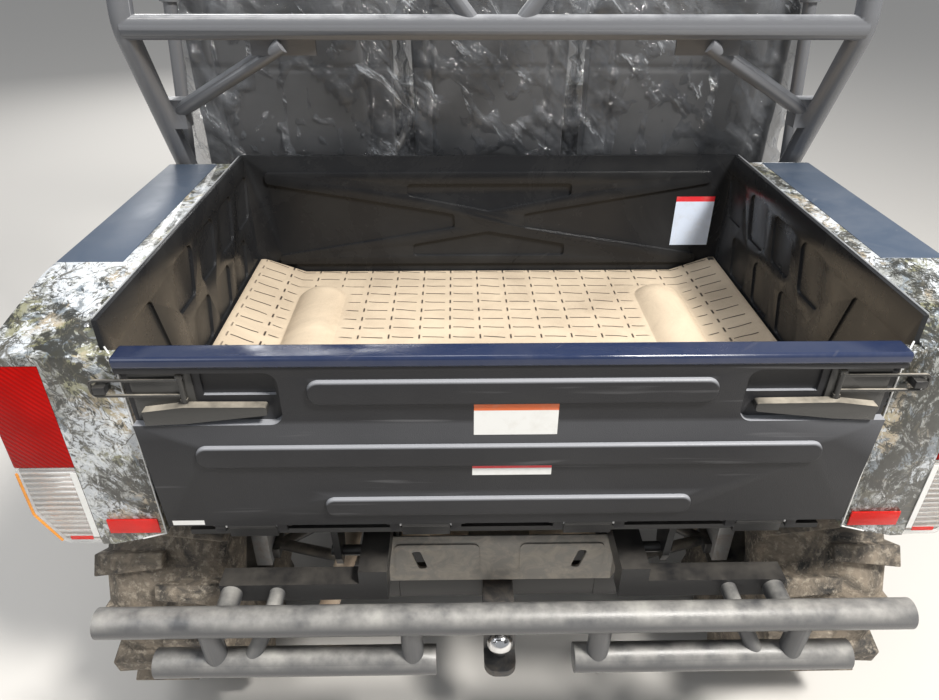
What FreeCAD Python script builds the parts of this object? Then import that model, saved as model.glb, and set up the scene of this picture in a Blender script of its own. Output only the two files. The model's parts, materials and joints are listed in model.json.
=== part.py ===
import FreeCAD, Part
import math
import os
import re
import types
import Sketcher

# Three-seat utility side by side with a tilting cargo bed, in millimetres.
# X points to the vehicle's right, Y forward and Z up; the origin is on the ground,
# at the middle of the length and width.

# driving sizes
SIZES = {
    # wheels
    "rear_axle_y": -1004,
    "wheelbase": 1920,
    "tyre_radius": 317.5,
    "rear_tyre_width": 254,
    "front_tyre_width": 203,
    "rear_wheel_x": 643,
    "front_wheel_x": 660,
    "rim_radius": 152.4,
    "rim_wall": 6,
    "rim_windows": 8,
    "rim_window_radius": 17,
    "lug_height": 24,
    "lug_count": 16,
    "lug_root": 40,
    "spindle_radius": 16,
    "running_clearance": 0.05,
    "face_gap": 0.3,
    "hub_radius": 42,
    "hub_length": 60,
    # steering
    "kingpin_inset": 75,
    "kingpin_radius": 9,
    "steer_arm": 95,
    "tie_rod_radius": 7,
    "rack_half": 240,
    "wheel_ring_radius": 178,
    "wheel_grip_radius": 14,
    "spoke_width": 26,
    "spoke_thick": 10,
    "steering_wheel_x": -420,
    "steering_wheel_back": 681,
    "steering_wheel_z": 960,
    "column_tilt": 38,
    "column_radius": 16,
    "column_length": 400,
    "steer_limit": 28,
    # chassis
    "rail_x": 230,
    "rail_size": 50,
    "rail_bottom": 295,
    "rear_overhang": 181,
    "front_overhang": 264,
    "upper_rail_z": 520,
    "upper_rail_height": 40,
    "tower_height": 600,
    "tower_depth": 32,
    "tower_reach": 140,
    "shaft_hole_radius": 17,
    "cab_ahead": 552,
    "floor_thick": 6,
    "toe_rise": 415,
    "toe_run": 60,
    "sill_inner": 600,
    "sill_width": 142,
    "engine_half": 190,
    "engine_length": 360,
    "engine_top": 620,
    "muffler_radius": 62,
    "muffler_length": 390,
    "muffler_z": 470,
    "shield_half": 255,
    "shield_bottom": 388,
    "shield_height": 123,
    # seats
    "seat_base_top": 560,
    "seat_split": 205,
    "seat_gap": 6,
    "seat_outset": 112,
    "cushion_height": 120,
    "cushion_length": 455,
    "back_thick": 105,
    "back_height": 850,
    "back_lift": 40,
    "back_rake": 150,
    "bulkhead_height": 340,
    # cage
    "cage_tube_radius": 22.5,
    "cage_top": 1960,
    "hoop_inset": 35,
    "roof_inset": 52,
    "hoop_foot_z": 735,
    "hoop_knee_rise": 265,
    "crossbar_z": 1350,
    "crossbar_back": 275,
    "pillar_foot_inset": 81,
    "cage_bend": 110,
    "brace_radius": 16,
    "brace_head_x": 410,
    "second_post_radius": 14,
    "foot_plate": 84,
    "foot_plate_thick": 12,
    # bed
    "bed_inner_half": 580,
    "bed_wall": 8,
    "bed_behind_cab": 80,
    "bed_length": 798,
    "bed_floor": 745,
    "bed_depth": 305,
    "pivot_ahead": 50,
    "pivot_radius": 10,
    "stamp_depth": 5,
    "band_height": 7,
    "mat_thick": 12,
    "mat_gap": 6,
    "mat_ramp": 110,
    "mat_ramp_height": 35,
    "dome_x": 400,
    "dome_radius": 75,
    "dome_height": 24,
    "side_width": 176,
    "side_drop": 105,
    "side_front_gap": 66,
    "slope_length": 218,
    "tail_step": 47,
    "wheel_room": 57.5,
    "steer_room": 84.5,
    "cap_inset": 33,
    "cap_margin": 36,
    "cap_depth": 4,
    "bed_rail_spread": 66,
    "bed_rail_width": 40,
    "bed_rail_height": 46,
    # lamps
    "lamp_width": 94,
    "lamp_depth": 112,
    "lamp_lift": 15,
    "clear_height": 147,
    "reflector_height": 30,
    # tailgate
    "gate_thick": 35,
    "gate_height": 318,
    "gate_gap": 5,
    "gate_taper": 13,
    "gate_cap_height": 18,
    "gate_rib_height": 7,
    "gate_pin_lift": 29,
    "gate_pin_radius": 4,
    "gate_barrel_radius": 8,
    "hinge_inner": 69,
    "hinge_outer": 351,
    "hinge_width": 128,
    "latch_pocket": 223,
    "latch_pocket_height": 90,
    "latch_shelf": 14,
    "latch_well": 20,
    "bail_radius": 2.5,
    # nose
    "fender_inner": 432,
    "fender_deck": 640,
    "fender_top": 930,
    "fender_behind": 446,
    "fender_ahead": 374,
    "nose_length": 110,
    "nose_inset": 105,
    "nose_bottom": 430,
    "nose_height": 450,
    "nose_taper": 200,
    "grille_half": 300,
    "grille_bottom": 560,
    "grille_height": 200,
    "grille_bar": 10,
    "lamp_bottom_front": 690,
    "headlamp_height": 110,
    "headlamp_inner": 360,
    "quarter_length": 208,
    "hood_behind": 256,
    "hood_thick": 14,
    "hood_rise": 55,
    "hood_drop": 50,
    "hood_pin_radius": 5,
    "bin_wall": 6,
    # bumpers and hitch
    "bumper_tube_radius": 25.4,
    "bumper_stub_radius": 19,
    "rear_bumper_z": 537,
    "rear_bumper_half": 673,
    "rear_bumper_reach": 80,
    "low_tube_drop": 117,
    "front_bumper_z": 560,
    "front_bumper_half": 430,
    "front_bumper_reach": 30,
    "ball_radius": 25.4,
    "ball_reach": 125,
    "receiver_size": 62,
    "receiver_wall": 6,
    "tongue_bottom": 262,
    "tongue_thick": 16,
}

# places that follow from the driving sizes
PLACES = {
    # along the vehicle
    "front_axle_y": "rear_axle_y + wheelbase",
    "cab_rear": "rear_axle_y + cab_ahead",
    "bed_front": "cab_rear - bed_behind_cab",
    "bed_rear": "bed_front - bed_length",
    "front_wall": "bed_front - bed_wall",
    "side_front": "bed_front - side_front_gap",
    "side_rear": "bed_rear - 22",
    "slope_start": "side_rear + slope_length",
    "lamp_front": "side_rear + lamp_depth",
    "gate_inner_y": "bed_rear - 7",
    "gate_outer_y": "gate_inner_y - gate_thick",
    "gate_pin_y": "gate_inner_y - gate_thick / 2",
    "pivot_y": "bed_rear + pivot_ahead",
    "upper_rail_rear": "bed_rear - 20",
    "upper_rail_front": "cab_rear - 18",
    "rear_bumper_y": "upper_rail_rear - rear_bumper_reach",
    "chassis_rear": "rear_axle_y - rear_overhang",
    "chassis_front": "front_axle_y + front_overhang",
    "ball_y": "chassis_rear - ball_reach",
    "engine_rear": "rear_axle_y + 114",
    "muffler_y": "rear_axle_y - 116",
    "back_bottom_y": "cab_rear + 117",
    "back_top_y": "back_bottom_y - back_rake",
    "cushion_front": "back_bottom_y + cushion_length",
    "seat_base_front": "cushion_front - 30",
    "toe_y": "front_axle_y - 416",
    "fender_rear": "front_axle_y - fender_behind",
    "fender_front": "front_axle_y + fender_ahead",
    "nose_front": "fender_front + nose_length",
    "hood_rear": "front_axle_y - hood_behind",
    "hood_front": "nose_front - 42",
    "hood_pin_y": "hood_rear + 15",
    "dash_front": "hood_rear - 30",
    "front_bumper_y": "nose_front + front_bumper_reach",
    "pillar_foot_y": "front_axle_y - 211",
    "roof_front_y": "front_axle_y - 746",
    "steering_wheel_y": "front_axle_y - steering_wheel_back",
    "hoop_foot_y": "cab_rear - 48",
    "hoop_knee_y": "cab_rear - 82",
    "crossbar_y": "cab_rear - crossbar_back",
    "roof_rear_y": "cab_rear - 286",
    "brace_foot_y": "cab_rear - 154",
    "second_post_y": "cab_rear - 34",
    # across the vehicle
    "rail_in": "rail_x - rail_size / 2",
    "rail_out": "rail_x + rail_size / 2",
    "kingpin_x": "front_wheel_x - kingpin_inset",
    "carrier_x": "rear_wheel_x - 112",
    "bed_outer": "bed_inner_half + bed_wall",
    "side_outer": "bed_outer + side_width",
    "cap_inner": "bed_outer + cap_inset",
    "cap_outer": "side_outer - cap_margin",
    "lamp_inner": "side_outer - lamp_width",
    "gate_half_top": "bed_inner_half - 25",
    "gate_half_bottom": "gate_half_top - gate_taper",
    "reflector_inner": "gate_half_bottom + 21",
    "reflector_outer": "lamp_inner - 20",
    "bed_rail_x": "rail_x + bed_rail_spread",
    "sill_outer": "sill_inner + sill_width",
    "seat_base_half": "sill_inner - 4",
    "seat_outer": "sill_inner + seat_outset",
    "hoop_x": "sill_outer - hoop_inset",
    "cage_half_top": "hoop_x - roof_inset",
    "fender_outer": "sill_outer + 3",
    "dash_half": "fender_outer - 55",
    "pillar_foot_x": "fender_outer - pillar_foot_inset",
    "nose_half": "fender_outer - nose_inset",
    "outrigger_x": "sill_outer - 22",
    # heights
    "rail_top": "rail_bottom + rail_size",
    "rail_middle": "rail_bottom + rail_size / 2",
    "upper_top": "upper_rail_z + upper_rail_height",
    "rear_member_bottom": "upper_rail_z - 30",
    "rest_top": "bed_floor - bed_wall - bed_rail_height - face_gap",
    "front_top": "fender_deck + 50",
    "drive_bottom": "rail_bottom - 23",
    "floor_top": "rail_top + floor_thick",
    "toe_top": "rail_top + toe_rise",
    "cushion_bottom": "seat_base_top + face_gap",
    "back_top": "seat_base_top + back_height",
    "bulkhead_top": "seat_base_top + bulkhead_height",
    "hoop_knee_z": "hoop_foot_z + hoop_knee_rise",
    "pillar_foot_z": "fender_top",
    "roof_z": "cage_top - cage_tube_radius",
    "brace_foot_z": "crossbar_z - 200",
    "bed_bottom": "bed_floor - bed_wall",
    "bed_top": "bed_floor + bed_depth",
    "mat_top": "bed_floor + mat_thick",
    "side_bottom": "bed_floor - side_drop",
    "tail_top": "bed_top - tail_step",
    "lamp_bottom": "side_bottom + lamp_lift",
    "lamp_split": "lamp_bottom + clear_height",
    "reflector_bottom": "lamp_bottom + 10",
    "gate_pin_z": "lamp_bottom + gate_pin_lift",
    "gate_bottom": "gate_pin_z + 13",
    "gate_top": "gate_bottom + gate_height",
    "panel_top": "gate_top - gate_cap_height",
    "pivot_z": "upper_rail_z + upper_rail_height / 2",
    "rear_arch": "tyre_radius + wheel_room",
    "front_arch": "tyre_radius + steer_room",
    "hood_rear_z": "fender_top + hood_rise",
    "hood_front_z": "fender_top - hood_drop",
    "hood_pin_z": "hood_rear_z - 35",
    "dash_bottom": "toe_top + 2",
    "low_tube_z": "rear_bumper_z - low_tube_drop",
}

V = FreeCAD.Vector
document = FreeCAD.newDocument("side_by_side")
sheet = document.addObject("Spreadsheet::Sheet", "sizes")
for row, (alias, value) in enumerate(SIZES.items(), 1):
    sheet.set(f"A{row}", alias)
    sheet.set(f"B{row}", str(value))
    sheet.setAlias(f"B{row}", alias)
document.recompute()
nodes = []


def bound(text):
    """An expression over size and place names, as the document's objects read it."""
    def spelled(word):
        name = word.group()
        if name in PLACES:
            return f"({bound(PLACES[name])})"
        return f"sizes.{name}" if name in SIZES else name
    return re.sub(r"[a-z][a-z_0-9]*", spelled, str(text))


def number(text):
    """The value of such an expression."""
    return float(sheet.evalExpression(bound(text)))


s = types.SimpleNamespace(**{name: number(name) for name in (*SIZES, *PLACES)})


def node(label, thing):
    """Name a finished sub-part."""
    thing.Label = label
    nodes.append(thing)
    return thing


def add(kind, name, **expressions):
    """A primitive whose sizes are expressions."""
    thing = document.addObject(kind, name)
    for key, text in expressions.items():
        thing.setExpression(key, bound(text))
    return thing


def place(thing, x, y, z, axis=None, angle=0):
    """Put a piece at an expression's place, turned about a fixed axis."""
    if axis:
        thing.Placement = FreeCAD.Placement(V(0, 0, 0), FreeCAD.Rotation(V(*axis), angle))
    for key, text in zip("xyz", (x, y, z)):
        thing.setExpression(f"Placement.Base.{key}", bound(text))
    return thing


def block(name, x0, x1, y0, y1, z0, z1):
    """A box between two corners."""
    spans = {"Length": f"({x1}) - ({x0})", "Width": f"({y1}) - ({y0})", "Height": f"({z1}) - ({z0})"}
    thing = add("Part::Box", name, **spans)
    return place(thing, x0, y0, z0)


def bar(name, radius, length, x, y, z, axis=(0, 1, 0)):
    """A round bar that runs toward positive X, or along Y when turned about X, or up."""
    thing = add("Part::Cylinder", name, Radius=radius, Height=length)
    return place(thing, x, y, z, axis, 90 if axis else 0)


def fused(name, things):
    """One solid from pieces that meet."""
    thing = document.addObject("Part::MultiFuse", name)
    thing.Shapes = things
    thing.Refine = True
    return thing


def group(name, things):
    """Like solids that don't touch, kept as one sub-part."""
    thing = document.addObject("Part::Compound", name)
    thing.Links = things
    return thing


def mirrored(thing):
    """The same piece on the vehicle's other side."""
    other = document.addObject("Part::Mirroring", thing.Name + "_other_side")
    other.Source = thing
    other.Normal = (1, 0, 0)
    other.Base = (0, 0, 0)
    return other


def cut(name, base, *tools):
    """A piece less others."""
    for index, tool in enumerate(tools):
        thing = document.addObject("Part::Cut", f"{name}{index}" if index else name)
        thing.Base = base
        thing.Tool = tool
        base = thing
    return base


def common(name, base, tool):
    """What two pieces share."""
    thing = document.addObject("Part::Common", name)
    thing.Base = base
    thing.Tool = tool
    return thing


def computed(name, shape, where=FreeCAD.Placement()):
    """A solid that no sketch or primitive fits, such as a bent tube."""
    thing = document.addObject("Part::Feature", name)
    thing.Shape = shape
    thing.Placement = where
    return thing


def several(corners):
    """A list of outlines, also when only one is given."""
    return corners if isinstance(corners[0], list) else [corners]


def sketch(body, name, plane, at, corners):
    """Closed outlines of straight lines, each corner bound to its two expressions."""
    drawing = body.newObject("Sketcher::SketchObject", name)
    support = [item for item in body.Origin.OriginFeatures if item.Role == plane + "_Plane"][0]
    drawing.AttachmentSupport = [(support, "")]
    drawing.MapMode = "FlatFace"
    offset = f"-({at})" if plane == "XZ" else at
    drawing.setExpression("AttachmentOffset.Base.z", bound(offset))
    first = 0
    for outline in several(corners):
        spots = [V(number(u), number(v), 0) for u, v in outline]
        count = len(spots)
        for index in range(count):
            drawing.addGeometry(Part.LineSegment(spots[index], spots[(index + 1) % count]), False)
        for index in range(count):
            drawing.addConstraint(
                Sketcher.Constraint("Coincident", first + index, 2, first + (index + 1) % count, 1))
        for index, (u, v) in enumerate(outline):
            for kind, text, reading in (("DistanceX", u, spots[index].x), ("DistanceY", v, spots[index].y)):
                key = drawing.addConstraint(Sketcher.Constraint(kind, -1, 1, first + index, 1, reading))
                drawing.setExpression(f"Constraints[{key}]", bound(text))
        first += count
    return drawing


def extruded(name, plane, at, length, corners, radius=None):
    """A body padded from its outline: XZ outlines run rearward, YZ to the right, XY up."""
    body = document.addObject("PartDesign::Body", name)
    pad(body, plane, at, length, corners, radius)
    return body


def pad(body, plane, at, length, corners, radius=None):
    """Add a prism to a body, its corners rounded when a radius is given."""
    drawing = sketch(body, f"{body.Name}_outline{len(body.Group)}", plane, at, corners)
    feature = body.newObject("PartDesign::Pad", f"{body.Name}_pad{len(body.Group)}")
    feature.Profile = drawing
    feature.setExpression("Length", bound(length))
    if radius:
        round_corners(body, plane, at, corners, radius)


def pocket(body, plane, at, length, corners, radius=None):
    """Take a prism, laid out as a pad is, from a body."""
    document.recompute()
    before = body.Shape.Volume
    drawing = sketch(body, f"{body.Name}_cut{len(body.Group)}", plane, at, corners)
    feature = body.newObject("PartDesign::Pocket", f"{body.Name}_pocket{len(body.Group)}")
    feature.Profile = drawing
    feature.Reversed = True
    feature.setExpression("Length", bound(length))
    document.recompute()
    if not body.Shape.Volume < before - 1:
        raise ValueError(f"{feature.Name} cuts nothing")
    if radius:
        round_corners(body, plane, at, corners, radius)


def runs_along(edge, way):
    """Whether an edge is straight and runs along an axis."""
    straight = isinstance(edge.Curve, (Part.Line, Part.LineSegment))
    return straight and abs(edge.tangentAt(edge.FirstParameter).dot(way)) > 0.999


def round_edges(body, radius, chosen):
    """Fillet the edges of a body that a test picks."""
    document.recompute()
    base = body.Tip
    names = [f"Edge{index}" for index, edge in enumerate(base.Shape.Edges, 1) if chosen(edge)]
    if not names:
        raise ValueError(f"no edge to round on {body.Name}")
    feature = body.newObject("PartDesign::Fillet", f"{body.Name}_fillet{len(body.Group)}")
    feature.Base = (base, names)
    feature.setExpression("Radius", bound(radius))
    document.recompute()


def round_corners(body, plane, at, corners, radius):
    """Fillet the edges that outlines' corners left on a body, near the plane where they were drawn."""
    way, across = {"XZ": (V(0, 1, 0), (0, 2)), "YZ": (V(1, 0, 0), (1, 2)), "XY": (V(0, 0, 1), (0, 1))}[plane]
    spots = [(number(u), number(v)) for outline in several(corners) for u, v in outline]
    start = number(at)
    near = 0.1
    reach = max(60, abs(start) * 2)

    def chosen(edge):
        middle = edge.CenterOfMass
        here = (middle[across[0]], middle[across[1]])
        return runs_along(edge, way) and abs(middle.dot(way) - start) < reach and any(
            abs(here[0] - u) < near and abs(here[1] - v) < near for u, v in spots)
    round_edges(body, radius, chosen)


def rectangle(u0, u1, v0, v1):
    """Corners of a rectangle in a sketch."""
    return [(u0, v0), (u1, v0), (u1, v1), (u0, v1)]


def both_sides(corners):
    """An outline on the right, continued by its mirror image on the left."""
    return corners + [(f"-({u})", v) for u, v in reversed(corners)]


def flipped(corners):
    """The mirror image of an outline on the vehicle's other side."""
    return [(f"-({u})", v) for u, v in corners]


def rod(start, end, radius):
    """A straight round bar between two points."""
    start, end = V(*start), V(*end)
    return Part.makeCylinder(radius, (end - start).Length, start, end - start)


def bent_tube(points, radius, bend):
    """A round tube along straight runs that are joined by arcs of one radius."""
    points = [V(*point) for point in points]
    edges = []
    last = points[0]
    for before, corner, after in zip(points, points[1:], points[2:]):
        back = (before - corner).normalize()
        ahead = (after - corner).normalize()
        half = back.getAngle(ahead) / 2
        reach = bend / math.tan(half)
        start = corner + back * reach
        end = corner + ahead * reach
        middle = corner + (back + ahead).normalize() * (bend / math.sin(half) - bend)
        edges.append(Part.LineSegment(last, start).toShape())
        edges.append(Part.Arc(start, middle, end).toShape())
        last = end
    edges.append(Part.LineSegment(last, points[-1]).toShape())
    path = Part.Wire(edges)
    ring = Part.Wire([Part.Circle(points[0], points[1] - points[0], radius).toShape()])
    return path.makePipeShell([ring], True, False)


def merged(shapes):
    """One shape from shapes that meet."""
    return shapes[0].fuse(shapes[1:]).removeSplitter()


# wheels: carcass of flat faces, two staggered rows of lugs, and a dished rim with windows

def ringed(rings, flats):
    """A hollow ring of flat faces about the X axis, from a closed section of (place on the axis, flat radius)."""
    loops = []
    for x, flat_radius in rings:
        corner_radius = flat_radius / math.cos(math.pi / flats)
        turns = [math.pi * (2 * index + 1) / flats for index in range(flats)]
        loops.append([V(x, corner_radius * math.sin(turn), corner_radius * math.cos(turn)) for turn in turns])
    faces = []
    for here, there in zip(loops, loops[1:] + loops[:1]):
        for index in range(flats):
            ahead = (index + 1) % flats
            corners = [here[index], here[ahead], there[ahead], there[index]]
            faces.append(Part.Face(Part.makePolygon(corners + corners[:1])))
    return Part.Solid(Part.Shell(faces))


def tyre(name, width):
    """A tyre about its own X axis: each lug stands on a flat, the mirrored rows half a pitch apart."""
    half, tread = s.__dict__[width] / 2, s.tyre_radius - s.lug_height
    flats = int(2 * s.lug_count)
    # half of the closed section: distance from the middle, flat radius
    outer_half = ((half - 42, tread), (half - 14, tread - 18), (half, tread - 62),
                  (half - 2, s.rim_radius + 30), (half - 22, s.rim_radius))
    carcass = ringed([*outer_half, *((-x, radius) for x, radius in reversed(outer_half))], flats)
    body = document.addObject("PartDesign::Body", name)
    body.BaseFeature = computed(name + "_carcass", carcass)
    document.recompute()
    lugs = []
    flat_half = "((tyre_radius - lug_height) * tan(90 / lug_count))"
    root = "(tyre_radius - lug_height - lug_root)"
    for side, turn in ((-1, "0"), (1, "180 / lug_count")):
        inner, outer = f"{side} * -8", f"{side} * ({width} / 2 - 8)"
        drawing = sketch(body, f"{name}_lug{side + 1}", "XY", "0", [
            (inner, f"-{flat_half} * 0.3"), (outer, f"-{flat_half} * 0.75"), (outer, f"{flat_half} * 0.7"),
            (inner, f"{flat_half} * 0.75")])
        drawing.setExpression("AttachmentOffset.Base.y", bound(f"-{root} * sin({turn})"))
        drawing.setExpression("AttachmentOffset.Base.z", bound(f"{root} * cos({turn})"))
        drawing.setExpression("AttachmentOffset.Rotation.Angle", bound(turn))
        for axis, share in (("x", "1"), ("y", "0"), ("z", "0")):
            drawing.setExpression(f"AttachmentOffset.Rotation.Axis.{axis}", share)
        lug = body.newObject("PartDesign::Pad", f"{name}_lug_pad{side + 1}")
        lug.Profile = drawing
        lug.setExpression("Length", bound("lug_height + lug_root"))
        document.recompute()
        lugs.append(lug)
    ring = body.newObject("PartDesign::PolarPattern", name + "_ring")
    ring.Originals = lugs
    ring.Axis = ([item for item in body.Origin.OriginFeatures if item.Role == "X_Axis"][0], [""])
    ring.Angle = 360
    ring.setExpression("Occurrences", bound("lug_count"))
    body.Tip = ring
    document.recompute()
    return body


def rim(name, width):
    """A rim about its own X axis, its outer face towards positive X."""
    half = f"({width} / 2 - 20)"
    body = document.addObject("PartDesign::Body", name)
    outline = sketch(body, name + "_section", "XY", "0", [
        (f"-{half}", "rim_radius"), (f"-{half}", "rim_radius - rim_wall"),
        ("-10", "rim_radius - rim_wall - 14"), ("6", "rim_radius - rim_wall - 14"),
        ("-4", "hub_radius + 30"), ("-14", "hub_radius + 8"),
        ("-14", "spindle_radius + running_clearance"),
        ("hub_length - 14", "spindle_radius + running_clearance"), ("hub_length - 14", "hub_radius - 10"),
        ("4", "hub_radius"), ("6", "hub_radius + 34"), ("22", "rim_radius - rim_wall - 22"),
        (half, "rim_radius - rim_wall"), (half, "rim_radius")])
    shell = body.newObject("PartDesign::Revolution", name + "_shell")
    shell.Profile = outline
    shell.ReferenceAxis = (outline, ["H_Axis"])
    shell.Angle = 360
    document.recompute()
    window = body.newObject("Sketcher::SketchObject", name + "_window")
    support = [item for item in body.Origin.OriginFeatures if item.Role == "YZ_Plane"][0]
    window.AttachmentSupport = [(support, "")]
    window.MapMode = "FlatFace"
    window.setExpression("AttachmentOffset.Base.z", "-60")
    reach = "(rim_radius + hub_radius) / 2 + 8"
    window.addGeometry(Part.Circle(V(0, number(reach), 0), V(0, 0, 1), s.rim_window_radius), False)
    for kind, first, text in (("DistanceX", 0, "0"), ("DistanceY", 0, reach)):
        key = window.addConstraint(Sketcher.Constraint(kind, -1, 1, 0, 3, number(text)))
        window.setExpression(f"Constraints[{key}]", bound(text))
    key = window.addConstraint(Sketcher.Constraint("Radius", 0, s.rim_window_radius))
    window.setExpression(f"Constraints[{key}]", bound("rim_window_radius"))
    hole = body.newObject("PartDesign::Pocket", name + "_window_hole")
    hole.Profile = window
    hole.Reversed = True
    hole.Length = 120
    ring = body.newObject("PartDesign::PolarPattern", name + "_windows")
    ring.Originals = [hole]
    ring.Axis = (outline, ["H_Axis"])
    ring.Angle = 360
    ring.setExpression("Occurrences", bound("rim_windows"))
    body.Tip = ring
    document.recompute()
    return body


for end, axle_y in (("rear", "rear_axle_y"), ("front", "front_axle_y")):
    wheel_x, width = f"{end}_wheel_x", f"{end}_tyre_width"
    for make, what in ((tyre, "tyre"), (rim, "rim")):
        right = make(f"{what}_{end}_right", width)
        left = mirrored(right)
        place(right, wheel_x, axle_y, "tyre_radius")
        node(f"{what}_{end}_right", right)
        node(f"{what}_{end}_left", left)

# chassis: two lower rails, cross members with outriggers, rear and front subframes on them

members = {"rails": [], "cross": [], "rear": [], "front": []}
# uprights on each rail: part of the chassis, name, rear face, front face, bottom, top
uprights = (
    ("rails", "lower_rail", "chassis_rear", "chassis_front", "rail_bottom", "rail_top"),
    ("rear", "upper_rail", "upper_rail_rear", "upper_rail_front", "upper_rail_z", "upper_top"),
    ("rear", "tail_post", "upper_rail_rear", "upper_rail_rear + upper_rail_height", "rear_member_bottom",
     "upper_rail_z"),
    ("rear", "rear_post", "chassis_rear", "chassis_rear + rail_size", "rail_top", "upper_rail_z"),
    ("rear", "cab_post", "upper_rail_front - rail_size", "upper_rail_front", "rail_top", "upper_rail_z"),
    ("rear", "rest_post", "upper_rail_front - rail_size", "upper_rail_front", "upper_top",
     "rest_top - upper_rail_height"),
    ("front", "tower_post", "front_axle_y - tower_depth / 2", "front_axle_y + tower_depth / 2", "rail_top",
     "tower_height"),
    ("front", "front_post", "chassis_front - rail_size", "chassis_front", "rail_top", "front_top"),
)
for side, low, high in (("right", "rail_in", "rail_out"), ("left", "-rail_out", "-rail_in")):
    for part, label, rear, front, bottom, top in uprights:
        members[part].append(block(f"{label}_{side}", low, high, rear, front, bottom, top))
# members across both rails: part, name, half width, rear face, depth, bottom, height
for part, label, half, rear, depth, bottom, height in (
        ("rear", "rear_tower", "rail_x + tower_reach - 10", "rear_axle_y + 34", "tower_depth", "upper_top",
         "upper_rail_height"),
        ("rear", "bed_rest", "bed_rail_x + bed_rail_width / 2", "upper_rail_front - rail_size", "rail_size",
         "rest_top - upper_rail_height", "upper_rail_height"),
        ("front", "front_tower", "rail_x + tower_reach", "front_axle_y + 34", "tower_depth", "tower_height",
         "upper_rail_height"),
        ("front", "tower_web", "rail_out", "front_axle_y - tower_depth / 2", "tower_depth + 50", "tower_height",
         "upper_rail_height"),
        ("front", "front_top_member", "rail_out", "chassis_front - rail_size", "rail_size",
         "front_top - rail_size", "rail_size")):
    members[part].append(block(label, f"-({half})", half, rear, f"{rear} + {depth}", bottom,
                               f"{bottom} + {height}"))
# members between the lower rails: name, rear face, and how far the outriggers in line with them reach
for label, rear, reach in (
        ("hitch_member", "chassis_rear", None), ("engine_rear_member", "engine_rear + 40", None),
        ("engine_front_member", "engine_rear + engine_length - 80", None),
        ("rear_outrigger", "upper_rail_front - rail_size", "outrigger_x"),
        ("middle_member", "(cab_rear + fender_rear) / 2 - 9", "sill_inner"),
        ("front_outrigger", "fender_rear - rail_size", "sill_inner"),
        ("front_member", "chassis_front - rail_size", None)):
    spans = [("inner", "-rail_in", "rail_in")]
    if reach:
        spans += [("right", "rail_out", reach), ("left", f"-{reach}", "-rail_out")]
    for tag, low, high in spans:
        members["cross"].append(block(f"{label}_{tag}", low, high, rear, f"{rear} + rail_size", "rail_bottom",
                                      "rail_top"))
tail_half = "(rear_wheel_x - rear_tyre_width / 2 - 16)"
pin_length = "(rail_size + 56)"
for side in (1, -1):
    start = "rail_in" if side > 0 else f"-rail_in - {pin_length}"
    members["rear"].append(
        bar(f"pivot_pin_{side + 1}", "pivot_radius", pin_length, start, "pivot_y", "pivot_z"))
    low, high = ("rail_out", tail_half) if side > 0 else (f"-{tail_half}", "-rail_out")
    members["rear"].append(block(f"tail_outrigger_{side + 1}", low, high, "upper_rail_rear",
                                 "upper_rail_rear + upper_rail_height", "rear_member_bottom",
                                 "rear_member_bottom + upper_rail_height"))
shaft_holes = [
    bar(f"{label}_shaft_hole", "shaft_hole_radius", "rail_out * 2 + 2", "-rail_out - 1", hole_y, "rail_middle")
    for label, hole_y in (("rear", "rear_axle_y"), ("front", "front_axle_y"))]
node("chassis_frame", cut("bored_rails", group("lower_rails", members["rails"]), *shaft_holes))
node("cross_members", group("members_and_outriggers", members["cross"]))
node("rear_subframe", fused("rear_frame", members["rear"]))
node("front_subframe", fused("front_frame", members["front"]))

# rear bumper: a long tube, two short lower tubes, stubs and supports

tube, stub = s.bumper_tube_radius, s.bumper_stub_radius
by, bz = s.rear_bumper_y, s.rear_bumper_z
low_y, low_z = by + 8, s.low_tube_z
low_inner, low_outer = 120, s.rear_bumper_half - 68
stub_inset = (40, 107)
frame_y, frame_z = s.upper_rail_rear, s.rear_member_bottom + s.upper_rail_height / 2
straight_x, curved_x = 480, 400
shapes = [rod((-s.rear_bumper_half, by, bz), (s.rear_bumper_half, by, bz), tube)]
for side in (1, -1):
    shapes.append(rod((side * low_inner, low_y, low_z), (side * low_outer, low_y, low_z), tube))
    for x in (low_inner + stub_inset[0], low_outer - stub_inset[1]):
        shapes.append(rod((side * x, low_y, low_z), (side * x, by, bz), stub))
    shapes.append(rod((side * straight_x, frame_y, frame_z), (side * straight_x, by, frame_z), stub))
    shapes.append(bent_tube([(side * curved_x, frame_y, frame_z), (side * curved_x, by + 28, frame_z),
                             (side * (curved_x + 40), low_y, low_z + 10)], 14, 30))
node("rear_bumper", computed("rear_bumper_tubes", merged(shapes)))

# hitch: receiver, drop ball mount with a rounded tongue, and ball

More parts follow.
